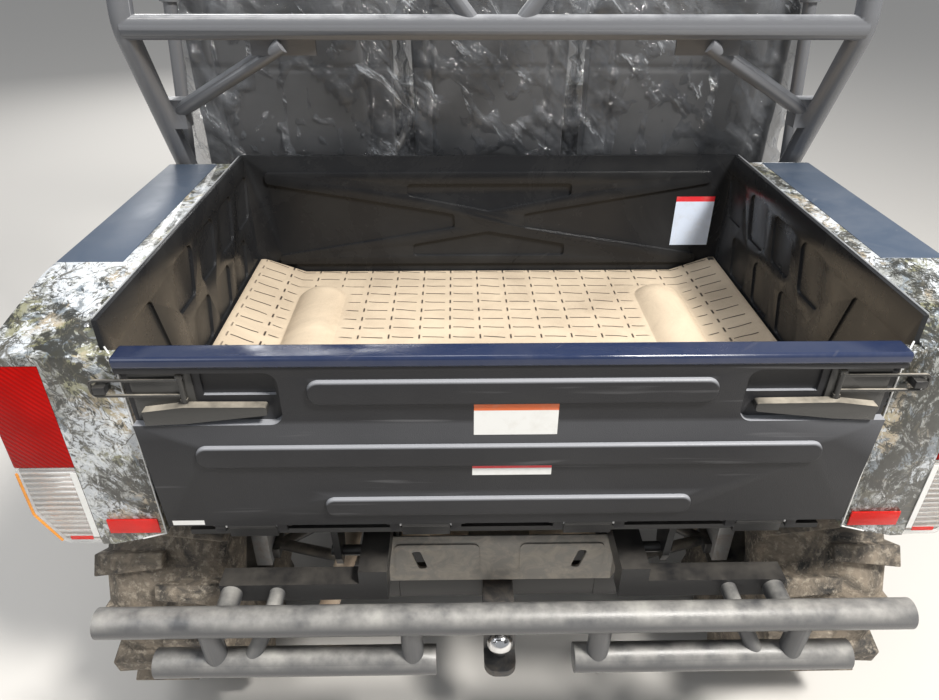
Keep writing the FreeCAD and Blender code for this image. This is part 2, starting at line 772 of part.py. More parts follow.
half = "receiver_size / 2"
shank = "(receiver_size / 2 - receiver_wall - face_gap)"
bore = f"({half} - receiver_wall)"
mount_front = "(chassis_rear - 95)"
receiver = block("receiver", f"-{half}", half, "chassis_rear - 90", "chassis_rear", f"rail_middle - {half}",
                 f"rail_middle + {half}")
receiver_bore = block("receiver_bore", f"-{bore}", bore, "chassis_rear - 91", "chassis_rear - 1",
                      f"rail_middle - {bore}", f"rail_middle + {bore}")
tongue = extruded("mount_tongue", "XY", "tongue_bottom", "tongue_thick",
                  rectangle(f"-{half}", half, "ball_y - 42", mount_front))
round_edges(tongue, "24", lambda edge: runs_along(edge, V(0, 0, 1)) and edge.CenterOfMass.y < s.ball_y)
ball_mount = [
    block("mount_shank", f"-{shank}", shank, "chassis_rear - 105", "chassis_rear - 1", f"rail_middle - {shank}",
          f"rail_middle + {shank}"),
    block("mount_drop", f"-{half}", half, f"{mount_front} - 20", mount_front, "tongue_bottom",
          f"rail_middle + {shank}"),
    tongue,
    bar("ball_neck", "13", "20", "0", "ball_y", "tongue_bottom + tongue_thick", None),
    place(add("Part::Sphere", "ball", Radius="ball_radius"), "0", "ball_y",
          "tongue_bottom + tongue_thick + 34")]
node("hitch", fused("hitch_parts", [cut("receiver_tube", receiver, receiver_bore)] + ball_mount))

# power unit: one plain block, with the final drive behind it

engine_front = "(engine_rear + engine_length)"
node("engine_block", extruded("engine", "YZ", "-engine_half", "engine_half * 2", [
    ("engine_rear", "rail_top + face_gap"), (engine_front, "rail_top + face_gap"),
    (engine_front, "engine_top - 60"), (f"{engine_front} - 60", "engine_top"),
    ("engine_rear + 30", "engine_top"), ("engine_rear", "engine_top - 60")],
    "12"))

# exhaust: muffler across the frame, with its hanger, outlet pipe and the shield behind it

drive_top = s.drive_bottom + 130
muffler_half = s.muffler_length / 2
outlet_x, outlet_radius = -292, 19
muffler = rod((-muffler_half, s.muffler_y, s.muffler_z), (muffler_half, s.muffler_y, s.muffler_z),
              s.muffler_radius)
hanger = Part.makeBox(60, 30, s.muffler_z - drive_top - s.face_gap,
                      V(-30, s.muffler_y + 20, drive_top + s.face_gap))
outlet = bent_tube([(-muffler_half + 5, s.muffler_y + 10, s.muffler_z),
                    (outlet_x, s.muffler_y + 10, s.muffler_z),
                    (outlet_x, s.muffler_y - 135, s.muffler_z + 20),
                    (outlet_x - 46, s.muffler_y - 142, s.muffler_z - 105)], outlet_radius, 34)
node("exhaust", computed("exhaust_pipes", merged([muffler, hanger, outlet])))
shield_y = "(chassis_rear - 34)"
shield_top = "(shield_bottom + shield_height)"
shield = extruded("shield", "XY", "shield_bottom", "shield_height", [
    ("-shield_half", "chassis_rear - 1"), ("-shield_half + 30", f"{shield_y} - 3"),
    ("shield_half - 30", f"{shield_y} - 3"), ("shield_half", "chassis_rear - 1"),
    ("shield_half - 3", "chassis_rear - face_gap"), ("shield_half - 32", shield_y),
    ("-shield_half + 32", shield_y), ("-shield_half + 3", "chassis_rear - face_gap")])
pad(shield, "XY", f"{shield_top} - 41", "16", rectangle("-60", "60", "chassis_rear - 35", "chassis_rear"))
for left, right in (("-shield_half + 50", "-40"), ("40", "shield_half - 50")):
    raised = rectangle(left, right, "shield_bottom + 20", f"{shield_top} - 20")
    pad(shield, "XZ", f"{shield_y} - 2", "4", raised, "12")
for x, lean in (("-150", "-14"), ("150", "14")):
    pocket(shield, "XZ", f"{shield_y} + 1", "10", [
        (f"{x} - 9", "shield_bottom + 38"), (f"{x} + 9", "shield_bottom + 38"),
        (f"{x} + 9 + {lean}", f"{shield_top} - 38"), (f"{x} - 9 + {lean}", f"{shield_top} - 38")], "6")
node("muffler_shield", shield)

# floor tray, sills, seat base

floor_rear = "(cab_rear + 32)"
node("floor_tray", extruded("floor", "YZ", "-sill_inner", "sill_inner * 2", [
    (floor_rear, "rail_top"), ("toe_y", "rail_top"), ("toe_y + toe_run", "toe_top"),
    ("toe_y + toe_run - floor_thick", "toe_top"), ("toe_y - floor_thick", "floor_top"),
    (floor_rear, "floor_top")]))
sill = extruded("sill", "XZ", "fender_rear", "fender_rear - cab_rear", [
    ("sill_inner", "rail_bottom"), ("sill_outer - 24", "rail_bottom"), ("sill_outer", "rail_bottom + 16"),
    ("sill_outer", "rail_top + 6"), ("sill_outer - 16", "rail_top + 20"), ("sill_inner", "rail_top + 20")])
node("side_sills", group("sills", [sill, mirrored(sill)]))
back_lean = "((back_rake - back_thick) / (back_height - back_lift))"


def behind_backs(z, off):
    """Distance along the vehicle of a face behind the seat backs, at a height."""
    return f"back_bottom_y - back_thick - ({off}) - {back_lean} * (({z}) - seat_base_top - back_lift)"


node("seat_base", extruded("seat_box", "YZ", "-seat_base_half", "seat_base_half * 2", [
    ("seat_base_front", "floor_top"), ("seat_base_front", "seat_base_top"),
    (behind_backs("seat_base_top", "face_gap"), "seat_base_top"),
    (behind_backs("bulkhead_top", "face_gap"), "bulkhead_top"),
    (behind_backs("bulkhead_top", "face_gap + floor_thick"), "bulkhead_top"),
    (behind_backs("seat_base_top", "face_gap + floor_thick"), "seat_base_top"),
    (behind_backs("seat_base_top", "face_gap + floor_thick"), "floor_top")]))

# seats: three cushions and three backs with rounded shoulders

cushions, backs = [], []
for label, left, right in (("left", "-seat_outer", "-seat_split - seat_gap / 2"),
                           ("middle", "-seat_split + seat_gap / 2", "seat_split - seat_gap / 2"),
                           ("right", "seat_split + seat_gap / 2", "seat_outer")):
    width = f"({right}) - ({left})"
    cushion = extruded(f"cushion_{label}", "YZ", left, width, [
        ("back_bottom_y + 15", "cushion_bottom"), ("cushion_front", "cushion_bottom"),
        ("cushion_front", "seat_base_top + cushion_height"),
        ("back_bottom_y + 10", "seat_base_top + cushion_height")])
    round_edges(cushion, "28", lambda edge: runs_along(edge, V(1, 0, 0)) and edge.CenterOfMass.y > s.cushion_front - 1
                and edge.CenterOfMass.z > s.seat_base_top + 50)
    cushions.append(cushion)
    back = extruded(f"back_{label}", "YZ", left, width, [
        ("back_bottom_y - back_thick", "seat_base_top + back_lift"),
        ("back_bottom_y", "seat_base_top + back_lift"),
        ("back_top_y + back_thick * 0.8", "back_top"), ("back_top_y", "back_top")])
    round_edges(back, "60", lambda edge: runs_along(edge, V(0, 1, 0)) and edge.CenterOfMass.z > s.back_top - 1)
    backs.append(back)
node("seat_cushions", group("cushions", cushions))
node("seat_backs", group("backs", backs))

# roll cage: two side hoops with feet and brackets, and three cross tubes

tube = s.cage_tube_radius
roof_cross_inset = 110
shapes, braces = [], []
for side in (1, -1):
    hoop_x, pillar_x = side * s.hoop_x, side * s.pillar_foot_x
    shapes.append(bent_tube([
        (hoop_x, s.hoop_foot_y, s.hoop_foot_z + 5), (hoop_x, s.hoop_knee_y, s.hoop_knee_z),
        (hoop_x, s.crossbar_y, s.crossbar_z), (side * s.cage_half_top, s.roof_rear_y, s.roof_z),
        (side * s.cage_half_top, s.roof_front_y, s.roof_z),
        (pillar_x, s.pillar_foot_y, s.pillar_foot_z + s.foot_plate_thick)], tube, s.cage_bend))
    for foot_x, foot_y, foot_z, width in ((hoop_x, s.hoop_foot_y, s.hoop_foot_z, s.foot_plate),
                                          (pillar_x, s.pillar_foot_y, s.pillar_foot_z, s.foot_plate - 8)):
        shapes.append(Part.makeBox(width, s.foot_plate, s.foot_plate_thick,
                                   V(foot_x - width / 2, foot_y - s.foot_plate / 2, foot_z)))
    # the channel bracket at a brace's foot and the plate bracket at its head
    corner = V(side * (s.hoop_x - 22) - 23, s.brace_foot_y - 20, s.brace_foot_z - 15)
    shapes.append(Part.makeBox(46, 40, 60, corner))
    shapes.append(Part.makeBox(124, 8, 46, V(side * s.brace_head_x - 62, s.crossbar_y - 4, s.crossbar_z - 50)))
    braces.append([rod((side * 40, s.crossbar_y, s.crossbar_z),
                       (side * 520, s.roof_rear_y + roof_cross_inset, s.roof_z), s.brace_radius)])
    braces.append([rod((side * (s.hoop_x - 20), s.brace_foot_y, s.brace_foot_z + 15),
                       (side * s.brace_head_x, s.crossbar_y, s.crossbar_z - 30), s.brace_radius)])
    post_foot = V(hoop_x, s.hoop_knee_y, s.hoop_knee_z + 30)
    post_head = V(side * s.cage_half_top, s.second_post_y, s.roof_z)
    rise = post_head - post_foot
    braces.append([rod(post_foot, post_head, s.second_post_radius),
                   rod(post_foot + rise * 0.38, post_foot + rise * 0.45, s.second_post_radius + 7)])
for y, z, half_width in ((s.crossbar_y, s.crossbar_z, s.hoop_x),
                         (s.roof_rear_y + roof_cross_inset, s.roof_z, s.cage_half_top),
                         (s.roof_front_y - roof_cross_inset, s.roof_z, s.cage_half_top)):
    shapes.append(rod((-half_width, y, z), (half_width, y, z), tube))
cage = merged(shapes)
node("roll_cage", computed("cage_tubes", cage))
bare = [max(merged(brace).cut(cage).Solids, key=lambda solid: solid.Volume) if len(brace) > 1
        else max(brace[0].cut(cage).Solids, key=lambda solid: solid.Volume) for brace in braces]
node("cage_braces", computed("cage_brace_tubes", Part.makeCompound(bare)))

# body sides in front of the rear wheels


def arch(name, axle_y, radius):
    """The round space over a wheel on the right."""
    return bar(name, radius, "side_outer * 2", "0", axle_y, "tyre_radius")


quarter = block("quarter", "sill_inner", "sill_outer", "cab_rear - quarter_length", "cab_rear", "rail_bottom",
                "hoop_foot_z")
outrigger_room = block("outrigger_room", "0", "outrigger_x + 1", "upper_rail_front - rail_size - 1",
                       "upper_rail_front + 1", "rail_bottom - 1", "rail_top + 1")
quarter_body = cut("quarter_shell", quarter, arch("quarter_arch", "rear_axle_y", "rear_arch"), outrigger_room)
node("rear_quarters", group("quarters", [quarter_body, mirrored(quarter_body)]))

# front fenders with rounded shoulders and the wheel arch cut from them

fender = extruded("fender", "XZ", "fender_front", "fender_front - fender_rear", [
    ("fender_inner", "fender_deck"), ("sill_inner + 2", "fender_deck"), ("sill_inner + 2", "rail_top + 20"),
    ("fender_outer", "rail_top + 20"), ("fender_outer", "fender_top - 60"), ("fender_outer - 50", "fender_top"),
    ("fender_inner", "fender_top")])
round_edges(fender, "40", lambda edge: runs_along(edge, V(0, 1, 0)) and edge.CenterOfMass.z > s.fender_top - 70
            and edge.CenterOfMass.x > s.sill_inner)
pocket(fender, "YZ", "0", "fender_outer * 2", [
    ("fender_front + 1", "fender_top + 1"), ("fender_front - 240", "fender_top + 1"),
    ("fender_front + 1", "fender_top - 110")])
toe_room = block("toe_room", "0", "sill_inner + 2", "fender_rear - 1", "toe_y + toe_run + 2", "0",
                 "toe_top + 1")
dash_room = block("dash_room", "0", "dash_half + face_gap", "fender_rear - 1", "hood_rear", "toe_top + 1",
                  "fender_top + 1")
fender_body = cut("fender_body", fender, arch("fender_arch", "front_axle_y", "front_arch"), dash_room, toe_room)
node("front_fenders", group("fenders", [fender_body, mirrored(fender_body)]))

# nose: fascia with its openings, grille, headlamps and radiator

grille_top = "(grille_bottom + grille_height)"
fascia = extruded("fascia", "XY", "nose_bottom", "nose_height", both_sides([
    ("nose_half", "fender_front + face_gap"), ("nose_half", "fender_front + 30"),
    ("nose_half - nose_taper", "nose_front")]))
round_edges(fascia, "70", lambda edge: runs_along(edge, V(0, 0, 1)) and edge.CenterOfMass.y > s.nose_front - 1)
round_edges(fascia, "14", lambda edge: edge.CenterOfMass.z > s.nose_bottom + s.nose_height - 1
            and edge.CenterOfMass.y > s.fender_front + 5)
pocket(fascia, "XY", "nose_bottom - 1", "nose_height + 2",
       rectangle("-fender_inner", "fender_inner", "fender_front", "nose_front - 20"))
pocket(fascia, "XZ", "nose_front + 1", "40",
       rectangle("-grille_half", "grille_half", "grille_bottom", grille_top), "20")
headlamp_room = block("headlamp_room", "headlamp_inner", "nose_half + 1", "fender_front + 40", "nose_front + 1",
                      "lamp_bottom_front", "lamp_bottom_front + headlamp_height")
node("front_fascia", cut("fascia_open", fascia, headlamp_room, mirrored(headlamp_room)))
headlamp = common("headlamp", fascia, headlamp_room)
node("headlamps", group("headlamp_pair", [headlamp, mirrored(headlamp)]))
grille_rear, grille_front = "nose_front - 20", "nose_front"
bars = [block(f"grille_rail{index}", "-grille_half + 20", "grille_half - 20", grille_rear, grille_front, low,
              f"{low} + grille_bar")
        for index, low in enumerate(("grille_bottom", f"{grille_top} - grille_bar"))]
for index in range(5):
    left = f"(-grille_half + 22 + {index} * (grille_half * 2 - 44 - grille_bar) / 4)"
    bars.append(block(f"grille_post{index}", left, f"{left} + grille_bar", grille_rear, grille_front,
                      "grille_bottom + grille_bar / 2", f"{grille_top} - grille_bar / 2"))
for index in range(4):
    low = f"(grille_bottom + {index + 1} * (grille_height - grille_bar) / 5)"
    bars.append(block(f"grille_slat{index}", "-grille_half + 24", "grille_half - 24", f"{grille_rear} + 4",
                      f"{grille_front} - 6", low, f"{low} + grille_bar + 2"))
node("grille", fused("grille_bars", bars))
node("radiator", block("core", "-fender_inner + 152", "fender_inner - 152", "chassis_front + face_gap",
                       "chassis_front + 45", "nose_bottom + 20", "front_top + 100"))

# hood lid with a raised middle field, and the bin below it

hood_half = "(fender_inner - 6)"
hood = extruded("hood", "YZ", f"-{hood_half}", f"{hood_half} * 2", [
    ("hood_rear", "hood_rear_z"), ("hood_front", "hood_front_z"),
    ("hood_front + 16", "hood_front_z - 40"), ("hood_front + 4", "hood_front_z - 40"),
    ("hood_front", "hood_front_z - hood_thick"), ("hood_rear", "hood_rear_z - hood_thick")])
hood_slope = "((hood_rear_z - hood_front_z) / (hood_front - hood_rear))"


def hood_face(y, above):
    """Height at a distance along the vehicle of a face parallel to the lid's top."""
    return f"hood_rear_z + ({above}) - {hood_slope} * (({y}) - hood_rear)"


def under_hood(y):
    """Height of the seat for the closed lid at a distance along the vehicle."""
    return hood_face(y, "-hood_thick - face_gap")


pad(hood, "YZ", f"-{hood_half} * 0.55", f"{hood_half} * 1.1", [
    ("hood_rear + 60", hood_face("hood_rear + 60", "-1")),
    ("hood_front - 60", hood_face("hood_front - 60", "-1")),
    ("hood_front - 75", hood_face("hood_front - 75", "9")),
    ("hood_rear + 80", hood_face("hood_rear + 80", "9"))])
bin_rear, bin_front = "hood_rear + 20", "chassis_front - 10"
bin_half, bin_low = "(fender_inner - 40)", "(front_top + face_gap)"
storage = extruded("bin_outer", "YZ", f"-{bin_half}", f"{bin_half} * 2", [
    (bin_rear, bin_low), (bin_front, bin_low), (bin_front, under_hood(bin_front)),
    (bin_rear, under_hood(bin_rear))])
pocket(storage, "YZ", f"-{bin_half} + bin_wall", f"({bin_half} - bin_wall) * 2", [
    (f"{bin_rear} + bin_wall", f"{bin_low} + bin_wall"), (f"{bin_front} - bin_wall", f"{bin_low} + bin_wall"),
    (f"{bin_front} - bin_wall", "hood_rear_z"), (f"{bin_rear} + bin_wall", "hood_rear_z")])
bin_parts, lid_parts = [storage], [hood]
for side in (1, -1):
    low = f"{bin_half} - bin_wall" if side > 0 else f"-{bin_half}"
    bin_parts.append(block(f"hood_ear{side + 1}", low, f"{low} + bin_wall", "hood_pin_y - 8", f"{bin_rear} + 8",
                           "hood_pin_z - 10", "hood_pin_z + 8"))
    bin_parts.append(bar(f"hood_pin{side + 1}", "hood_pin_radius", "24",
                         f"{bin_half} - 1" if side > 0 else f"-{bin_half} - 23", "hood_pin_y", "hood_pin_z"))
    plate = f"{bin_half} + 6" if side > 0 else f"-{bin_half} - 18"
    lug = block(f"hood_lug{side + 1}", plate, f"{plate} + 12", "hood_pin_y - 10", "hood_pin_y + 10",
                "hood_pin_z - 10", f"{under_hood('hood_pin_y + 10')} + face_gap + 3")
    eye = bar(f"hood_eye{side + 1}", "hood_pin_radius + running_clearance", "14", f"{plate} - 1", "hood_pin_y",
              "hood_pin_z")
    lid_parts.append(cut(f"hood_bored_lug{side + 1}", lug, eye))
node("hood_lid", fused("hood_with_lugs", lid_parts))
node("hood_bin", fused("bin_with_pins", bin_parts))

# dash across the cab

dash = extruded("dash", "YZ", "-dash_half", "dash_half * 2", [
    ("dash_front", "dash_bottom"), ("dash_front", "hood_rear_z"), ("toe_y - 20", "hood_rear_z + 10"),
    ("toe_y - 90", "hood_rear_z - 30"), ("toe_y - 70", "hood_rear_z - 130"), ("toe_y + 20", "dash_bottom")])
round_edges(dash, "18", lambda edge: runs_along(edge, V(1, 0, 0)) and edge.CenterOfMass.y < s.toe_y)
node("dash_panel", dash)

# front bumper

fy, fz = s.front_bumper_y, s.front_bumper_z
shapes = [rod((-s.front_bumper_half, fy, fz), (s.front_bumper_half, fy, fz), s.bumper_tube_radius)]
for side in (1, -1):
    shapes.append(bent_tube([(side * s.rail_x, s.chassis_front, s.rail_middle),
                             (side * s.rail_x, fy, s.rail_middle), (side * s.rail_x, fy, fz)],
                            s.bumper_stub_radius, 60))
node("front_bumper", computed("front_bumper_tubes", merged(shapes)))

# suspension arms with their kingpins, rear hubs, drives and dampers

rail_face, arm_z = s.rail_out, s.rail_middle
upright_half = 60
upright_low, upright_high = s.tyre_radius - upright_half, s.tyre_radius + upright_half
bush, bush_length, leg_radius, upper_radius = 17, 40, 13, 11
arm_spread = 110
eye_radius, eye_length = 20, 28
seat_x, seat_size = 400, 36
damper_eye, damper_body, damper_rod, spring_plate = 13, 22, 9, 38
arms, hubs, dampers = [], [], []
for side in (1, -1):
    # the lower arms: axle, outer end across, its height, height of the legs' ends
    for axle, reach, low, leg_end in ((s.rear_axle_y, s.carrier_x - 18, arm_z - 55, arm_z - 55),
                                      (s.front_axle_y, s.kingpin_x, upright_low - 17, upright_low - 27)):
        inner = rail_face + bush + s.face_gap
        legs = []
        for spread in (-arm_spread, arm_spread):
            leg_y = axle + spread
            legs.append(rod((side * inner, leg_y - bush_length / 2, arm_z),
                            (side * inner, leg_y + bush_length / 2, arm_z), bush))
            legs.append(rod((side * inner, leg_y, arm_z), (side * (reach - 12), axle, leg_end), leg_radius))
        share = (reach - seat_x) / (reach - rail_face)
        seat_y, seat_z = axle + arm_spread * share, low + (arm_z - low) * share
        corner = V(side * seat_x - seat_size / 2, seat_y - 15, seat_z - 10)
        legs.append(Part.makeBox(seat_size, 30, seat_size, corner))
        if axle == s.front_axle_y:
            legs.append(Part.makeCylinder(eye_radius, eye_length, V(side * reach, axle, low - 12)))
            pin_height = upright_high - low + 20
            legs.append(Part.makeCylinder(s.kingpin_radius, pin_height, V(side * reach, axle, low)))
            legs.append(Part.makeCylinder(eye_radius, eye_length, V(side * reach, axle, upright_high + 1)))
            upper_x, upper_z = side * (rail_face + 15), arm_z + 90
            bush_x = upper_x + side * s.face_gap
            legs.append(rod((bush_x, axle - 15, upper_z), (bush_x, axle + 15, upper_z), 15))
            legs.append(rod((upper_x, axle, upper_z), (side * reach, axle, upright_high + 16), upper_radius))
        else:
            legs.append(Part.makeBox(16, 60, 28, V(side * (reach - 8 - s.face_gap) - 8, axle - 30, low - 14)))
        arms.append(merged(legs))
        foot = V(side * seat_x, seat_y, seat_z + seat_size - 10 + damper_eye + s.face_gap)
        top = s.upper_top if axle == s.rear_axle_y else s.tower_height
        head = V(side * (s.rail_x + 110), axle + 50, top - damper_eye - s.face_gap)
        way = (head - foot).normalize()
        length = (head - foot).Length
        dampers.append(merged([
            Part.makeCylinder(damper_eye, eye_length, foot - V(0, eye_length / 2, 0), V(0, 1, 0)),
            Part.makeCylinder(damper_eye, eye_length, head - V(0, eye_length / 2, 0), V(0, 1, 0)),
            Part.makeCylinder(damper_body, length * 0.5, foot + way * 10, way),
            Part.makeCylinder(damper_rod, length - 20, foot + way * 10, way),
            Part.makeCylinder(spring_plate, 8, foot + way * 30, way),
            Part.makeCylinder(spring_plate, 8, head - way * 38, way),
        ]))
node("suspension_arms", computed("arms", Part.makeCompound(arms)))
node("dampers", computed("damper_set", Part.makeCompound(dampers)))

carrier_width, carrier_length, carrier_height = 36, 90, 130
for side in (1, -1):
    carrier = Part.makeBox(carrier_width, carrier_length, carrier_height,
                           V(side * s.carrier_x - carrier_width / 2, s.rear_axle_y - carrier_length / 2,
                             s.tyre_radius - 75))
    spindle = rod((side * s.carrier_x, s.rear_axle_y, s.tyre_radius),
                  (side * (s.rear_wheel_x + s.hub_length - 20), s.rear_axle_y, s.tyre_radius), s.spindle_radius)
    hubs.append(merged([carrier, spindle]))
node("rear_knuckles", computed("rear_hubs", Part.makeCompound(hubs)))

prop_z = s.drive_bottom + 7
drives = [Part.makeBox(180, 204 - s.face_gap, 130, V(-90, s.rear_axle_y - 90, s.drive_bottom)),
          Part.makeBox(150, 140, 120, V(-75, s.front_axle_y - 46, s.drive_bottom)),
          rod((0, s.rear_axle_y, prop_z), (0, s.front_axle_y, prop_z), 15)]
for side in (1, -1):
    for axle, reach, radius in ((s.rear_axle_y, s.carrier_x - 18 - s.face_gap, 13),
                                (s.front_axle_y, s.kingpin_x - 44, 12)):
        drives.append(rod((0, axle, arm_z), (side * reach, axle, arm_z), radius))
node("final_drive", computed("drive", merged(drives)))

# front knuckles, tie rods, rack and column

front_y = s.front_axle_y
link_y = front_y - s.steer_arm + 12
stud_radius, stud_low = 6, upright_low - 26
link_z = stud_low + 8
for side, label in ((1, "right"), (-1, "left")):
    pin_x = side * s.kingpin_x
    upright = Part.makeBox(44, 60, upright_half * 2, V(pin_x - 22, front_y - 30, upright_low))
    spindle = rod((pin_x + side * 10, front_y, s.tyre_radius),
                  (side * (s.front_wheel_x + s.hub_length - 20), front_y, s.tyre_radius), s.spindle_radius)
    arm = Part.makeBox(30, s.steer_arm, 14, V(pin_x - 15, front_y - s.steer_arm, upright_low))
    stud = Part.makeCylinder(stud_radius, upright_low - stud_low + 5, V(pin_x, link_y, stud_low))
    bore = Part.makeCylinder(s.kingpin_radius + s.running_clearance, 200, V(pin_x, front_y, upright_low - 20))
    node(f"knuckle_{label}", computed(f"upright_{label}", merged([upright, spindle, arm, stud]).cut(bore)))
    link = merged([rod((side * (s.rack_half - 60), link_y, link_z), (pin_x - side * 8, link_y, link_z),
                       s.tie_rod_radius), Part.makeCylinder(14, 14, V(pin_x, link_y, link_z - 7))])
    link = link.cut(Part.makeCylinder(stud_radius + s.running_clearance, 30, V(pin_x, link_y, link_z - 15)))
    node(f"tie_rod_{label}", computed(f"link_{label}", link))

rack_radius, rack_bore, rack_bore_length = 24, 19, 132
drift = s.steer_arm * (1 - math.cos(math.radians(s.steer_limit))) / 2
rack_y = link_y + drift
rack = Part.makeCylinder(rack_radius, s.rack_half * 2, V(-s.rack_half, rack_y, link_z), V(1, 0, 0))
for side in (1, -1):
    rack = rack.cut(Part.makeCylinder(rack_bore, rack_bore_length, V(side * (s.rack_half + 1), rack_y, link_z),
                                      V(-side, 0, 0)))
    rack = rack.fuse(Part.makeBox(16, 30, s.rail_bottom - link_z - 20 - s.face_gap,
                                  V(side * (s.rail_x - 12) - 8, rack_y - 15, link_z + 20)))
tilt = math.radians(s.column_tilt)
column_axis = V(0, math.cos(tilt), -math.sin(tilt))
hub = V(s.steering_wheel_x, s.steering_wheel_y, s.steering_wheel_z)
column = Part.makeCylinder(s.column_radius, s.column_length, hub + column_axis * (20 + s.face_gap), column_axis)
tray_rear = s.toe_y - s.floor_thick - s.face_gap
# the column ends on the toe board's sloping face
beyond_tray = [(tray_rear, s.floor_top), (tray_rear + s.toe_run, s.toe_top), (s.dash_front, s.toe_top),
               (s.dash_front, s.floor_top)]
profile = [V(-s.sill_inner, y, z) for y, z in beyond_tray]
column = column.cut(Part.Face(Part.makePolygon(profile + profile[:1])).extrude(V(s.sill_inner, 0, 0)))
node("steering_rack", computed("rack", rack))
node("steering_column", computed("column", column))
ring = Part.makeTorus(s.wheel_ring_radius, s.wheel_grip_radius)
parts = [ring, Part.makeCylinder(48, 34, V(0, 0, -20))]
for turn in (90, 210, 330):
    spoke = Part.makeBox(s.wheel_ring_radius, s.spoke_width, s.spoke_thick, V(0, -s.spoke_width / 2, -8))
    spoke.rotate(V(0, 0, 0), V(0, 0, 1), turn)
    parts.append(spoke)
wheel_turn = FreeCAD.Rotation(V(0, 0, 1), column_axis * -1)
node("steering_wheel", computed("steering_wheel_ring", merged(parts), FreeCAD.Placement(hub, wheel_turn)))

# bed tub: front wall with its raised stamping, side walls with slanted recesses

tub = extruded("tub", "YZ", "-bed_outer", "bed_outer * 2", [
    ("bed_rear", "bed_bottom"), ("bed_front", "bed_bottom"), ("bed_front", "bed_top"), ("bed_rear", "bed_top")])
pocket(tub, "YZ", "-bed_inner_half", "bed_inner_half * 2", [
    ("bed_rear - 1", "bed_floor"), ("front_wall", "bed_floor"), ("front_wall", "bed_top + 1"),
    ("bed_rear - 1", "bed_top + 1")])
# the raised band: arms toward the corners, narrow in the middle
band = both_sides([("bed_inner_half - 45", "bed_top - 38"), ("bed_inner_half - 45", "bed_top - 64"),
                   ("85", "bed_floor + 164"), ("85", "bed_floor + 128"),
                   ("bed_inner_half - 55", "bed_floor + 56"), ("bed_inner_half - 55", "bed_floor + 33")])
pad(tub, "XZ", "front_wall", "band_height", band, "10")
half_islands = ([("198", "bed_top - 65"), ("198", "bed_top - 95"), ("0", "bed_top - 135")],
                [("190", "bed_floor + 54"), ("190", "bed_floor + 85"), ("0", "bed_floor + 119")])
islands = [half + [(f"-({u})", v) for u, v in half[1::-1]] for half in half_islands]
pocket(tub, "XZ", "front_wall + 1", "band_height + 2", islands, "9")
# recesses in the side walls: distance behind the front wall, width, bottom and top above the floor, lean
recesses = ((30, 95, 165, 262, 30), (165, 95, 165, 262, 30), (300, 95, 165, 262, 30), (435, 95, 165, 262, 30),
            (110, 95, 48, 138, 26), (250, 95, 48, 138, 26), (390, 95, 48, 138, 26), (560, 150, 60, 250, -60))
outlines = []
for behind, width, low, high, lean in recesses:
    front = f"(front_wall - {behind})"
    outlines.append([
        (front, f"bed_floor + {low}"), (f"{front} + {lean}", f"bed_floor + {high}"),
        (f"{front} + {lean} - {width}", f"bed_floor + {high}"), (f"{front} - {width}", f"bed_floor + {low}")])
for wall in ("bed_inner_half", "-bed_inner_half - stamp_depth"):
    pocket(tub, "YZ", wall, "stamp_depth", outlines, "16")
node("bed_tub", tub)

# mat: a plate that rises toward the side walls, with a long dome over each rear damper

mat_half = "(bed_inner_half - mat_gap)"
mat_rear, mat_front = "(bed_rear + mat_gap * 2)", "(front_wall - mat_gap)"
mat_plate = extruded("mat_plate", "XZ", mat_front, f"{mat_front} - {mat_rear}", both_sides([
    (mat_half, "bed_floor"), (mat_half, "mat_top + mat_ramp_height"),
    (f"{mat_half} - 14", "mat_top + mat_ramp_height"),
    (f"{mat_half} - mat_ramp", "mat_top")]))
dome_z = "(mat_top + dome_height - dome_radius)"
dome_front, dome_rear = "(front_wall - 155)", "(bed_rear + 75)"
domes = []
for side in (1, -1):
    dome_x = "dome_x" if side > 0 else "-dome_x"
    ridge = add("Part::Cylinder", f"dome{side + 1}", Radius="dome_radius", Height=f"{dome_front} - {dome_rear}")
    domes += [place(ridge, dome_x, dome_front, dome_z, (1, 0, 0), 90)]
    domes += [place(add("Part::Sphere", f"dome_{tag}{side + 1}", Radius="dome_radius"), dome_x, y, dome_z)
              for tag, y in (("front", dome_front), ("rear", dome_rear))]
below_floor = block("below_floor", f"-{mat_half}", mat_half, "bed_rear - 100", "bed_front + 100",
                    "bed_floor - dome_radius * 2", "bed_floor")
node("bed_mat", cut("mat", fused("mat_with_domes", [mat_plate] + domes), below_floor))

# bed frame with the pivot lugs, the sill behind it and a cross member

lug_half, lug_thick = "22", "12"
bed_pieces = []
for side in (1, -1):
    low = "bed_rail_x - bed_rail_width / 2" if side > 0 else "-bed_rail_x - bed_rail_width / 2"
    bed_pieces.append(block(f"bed_rail{side + 1}", low, f"{low} + bed_rail_width", "bed_rear + 5", "bed_front",
                            "bed_bottom - bed_rail_height", "bed_bottom"))
    plate = "bed_rail_x - 6" if side > 0 else "-bed_rail_x - 6"
    lug = extruded(f"pivot_lug{side + 1}", "YZ", plate, lug_thick, [
        (f"pivot_y - {lug_half}", "pivot_z"), ("pivot_y - 14", "pivot_z - 20"), ("pivot_y + 14", "pivot_z - 20"),
        (f"pivot_y + {lug_half}", "pivot_z"), ("pivot_y + 60", "bed_bottom - bed_rail_height"),
        ("pivot_y - 40", "bed_bottom - bed_rail_height")])
    eye = bar(f"pivot_eye{side + 1}", "pivot_radius + running_clearance", f"{lug_thick} + 2", f"{plate} - 1",
              "pivot_y", "pivot_z")
    bed_pieces.append(cut(f"bored_lug{side + 1}", lug, eye))
sill_half = "(gate_half_bottom - 20)"
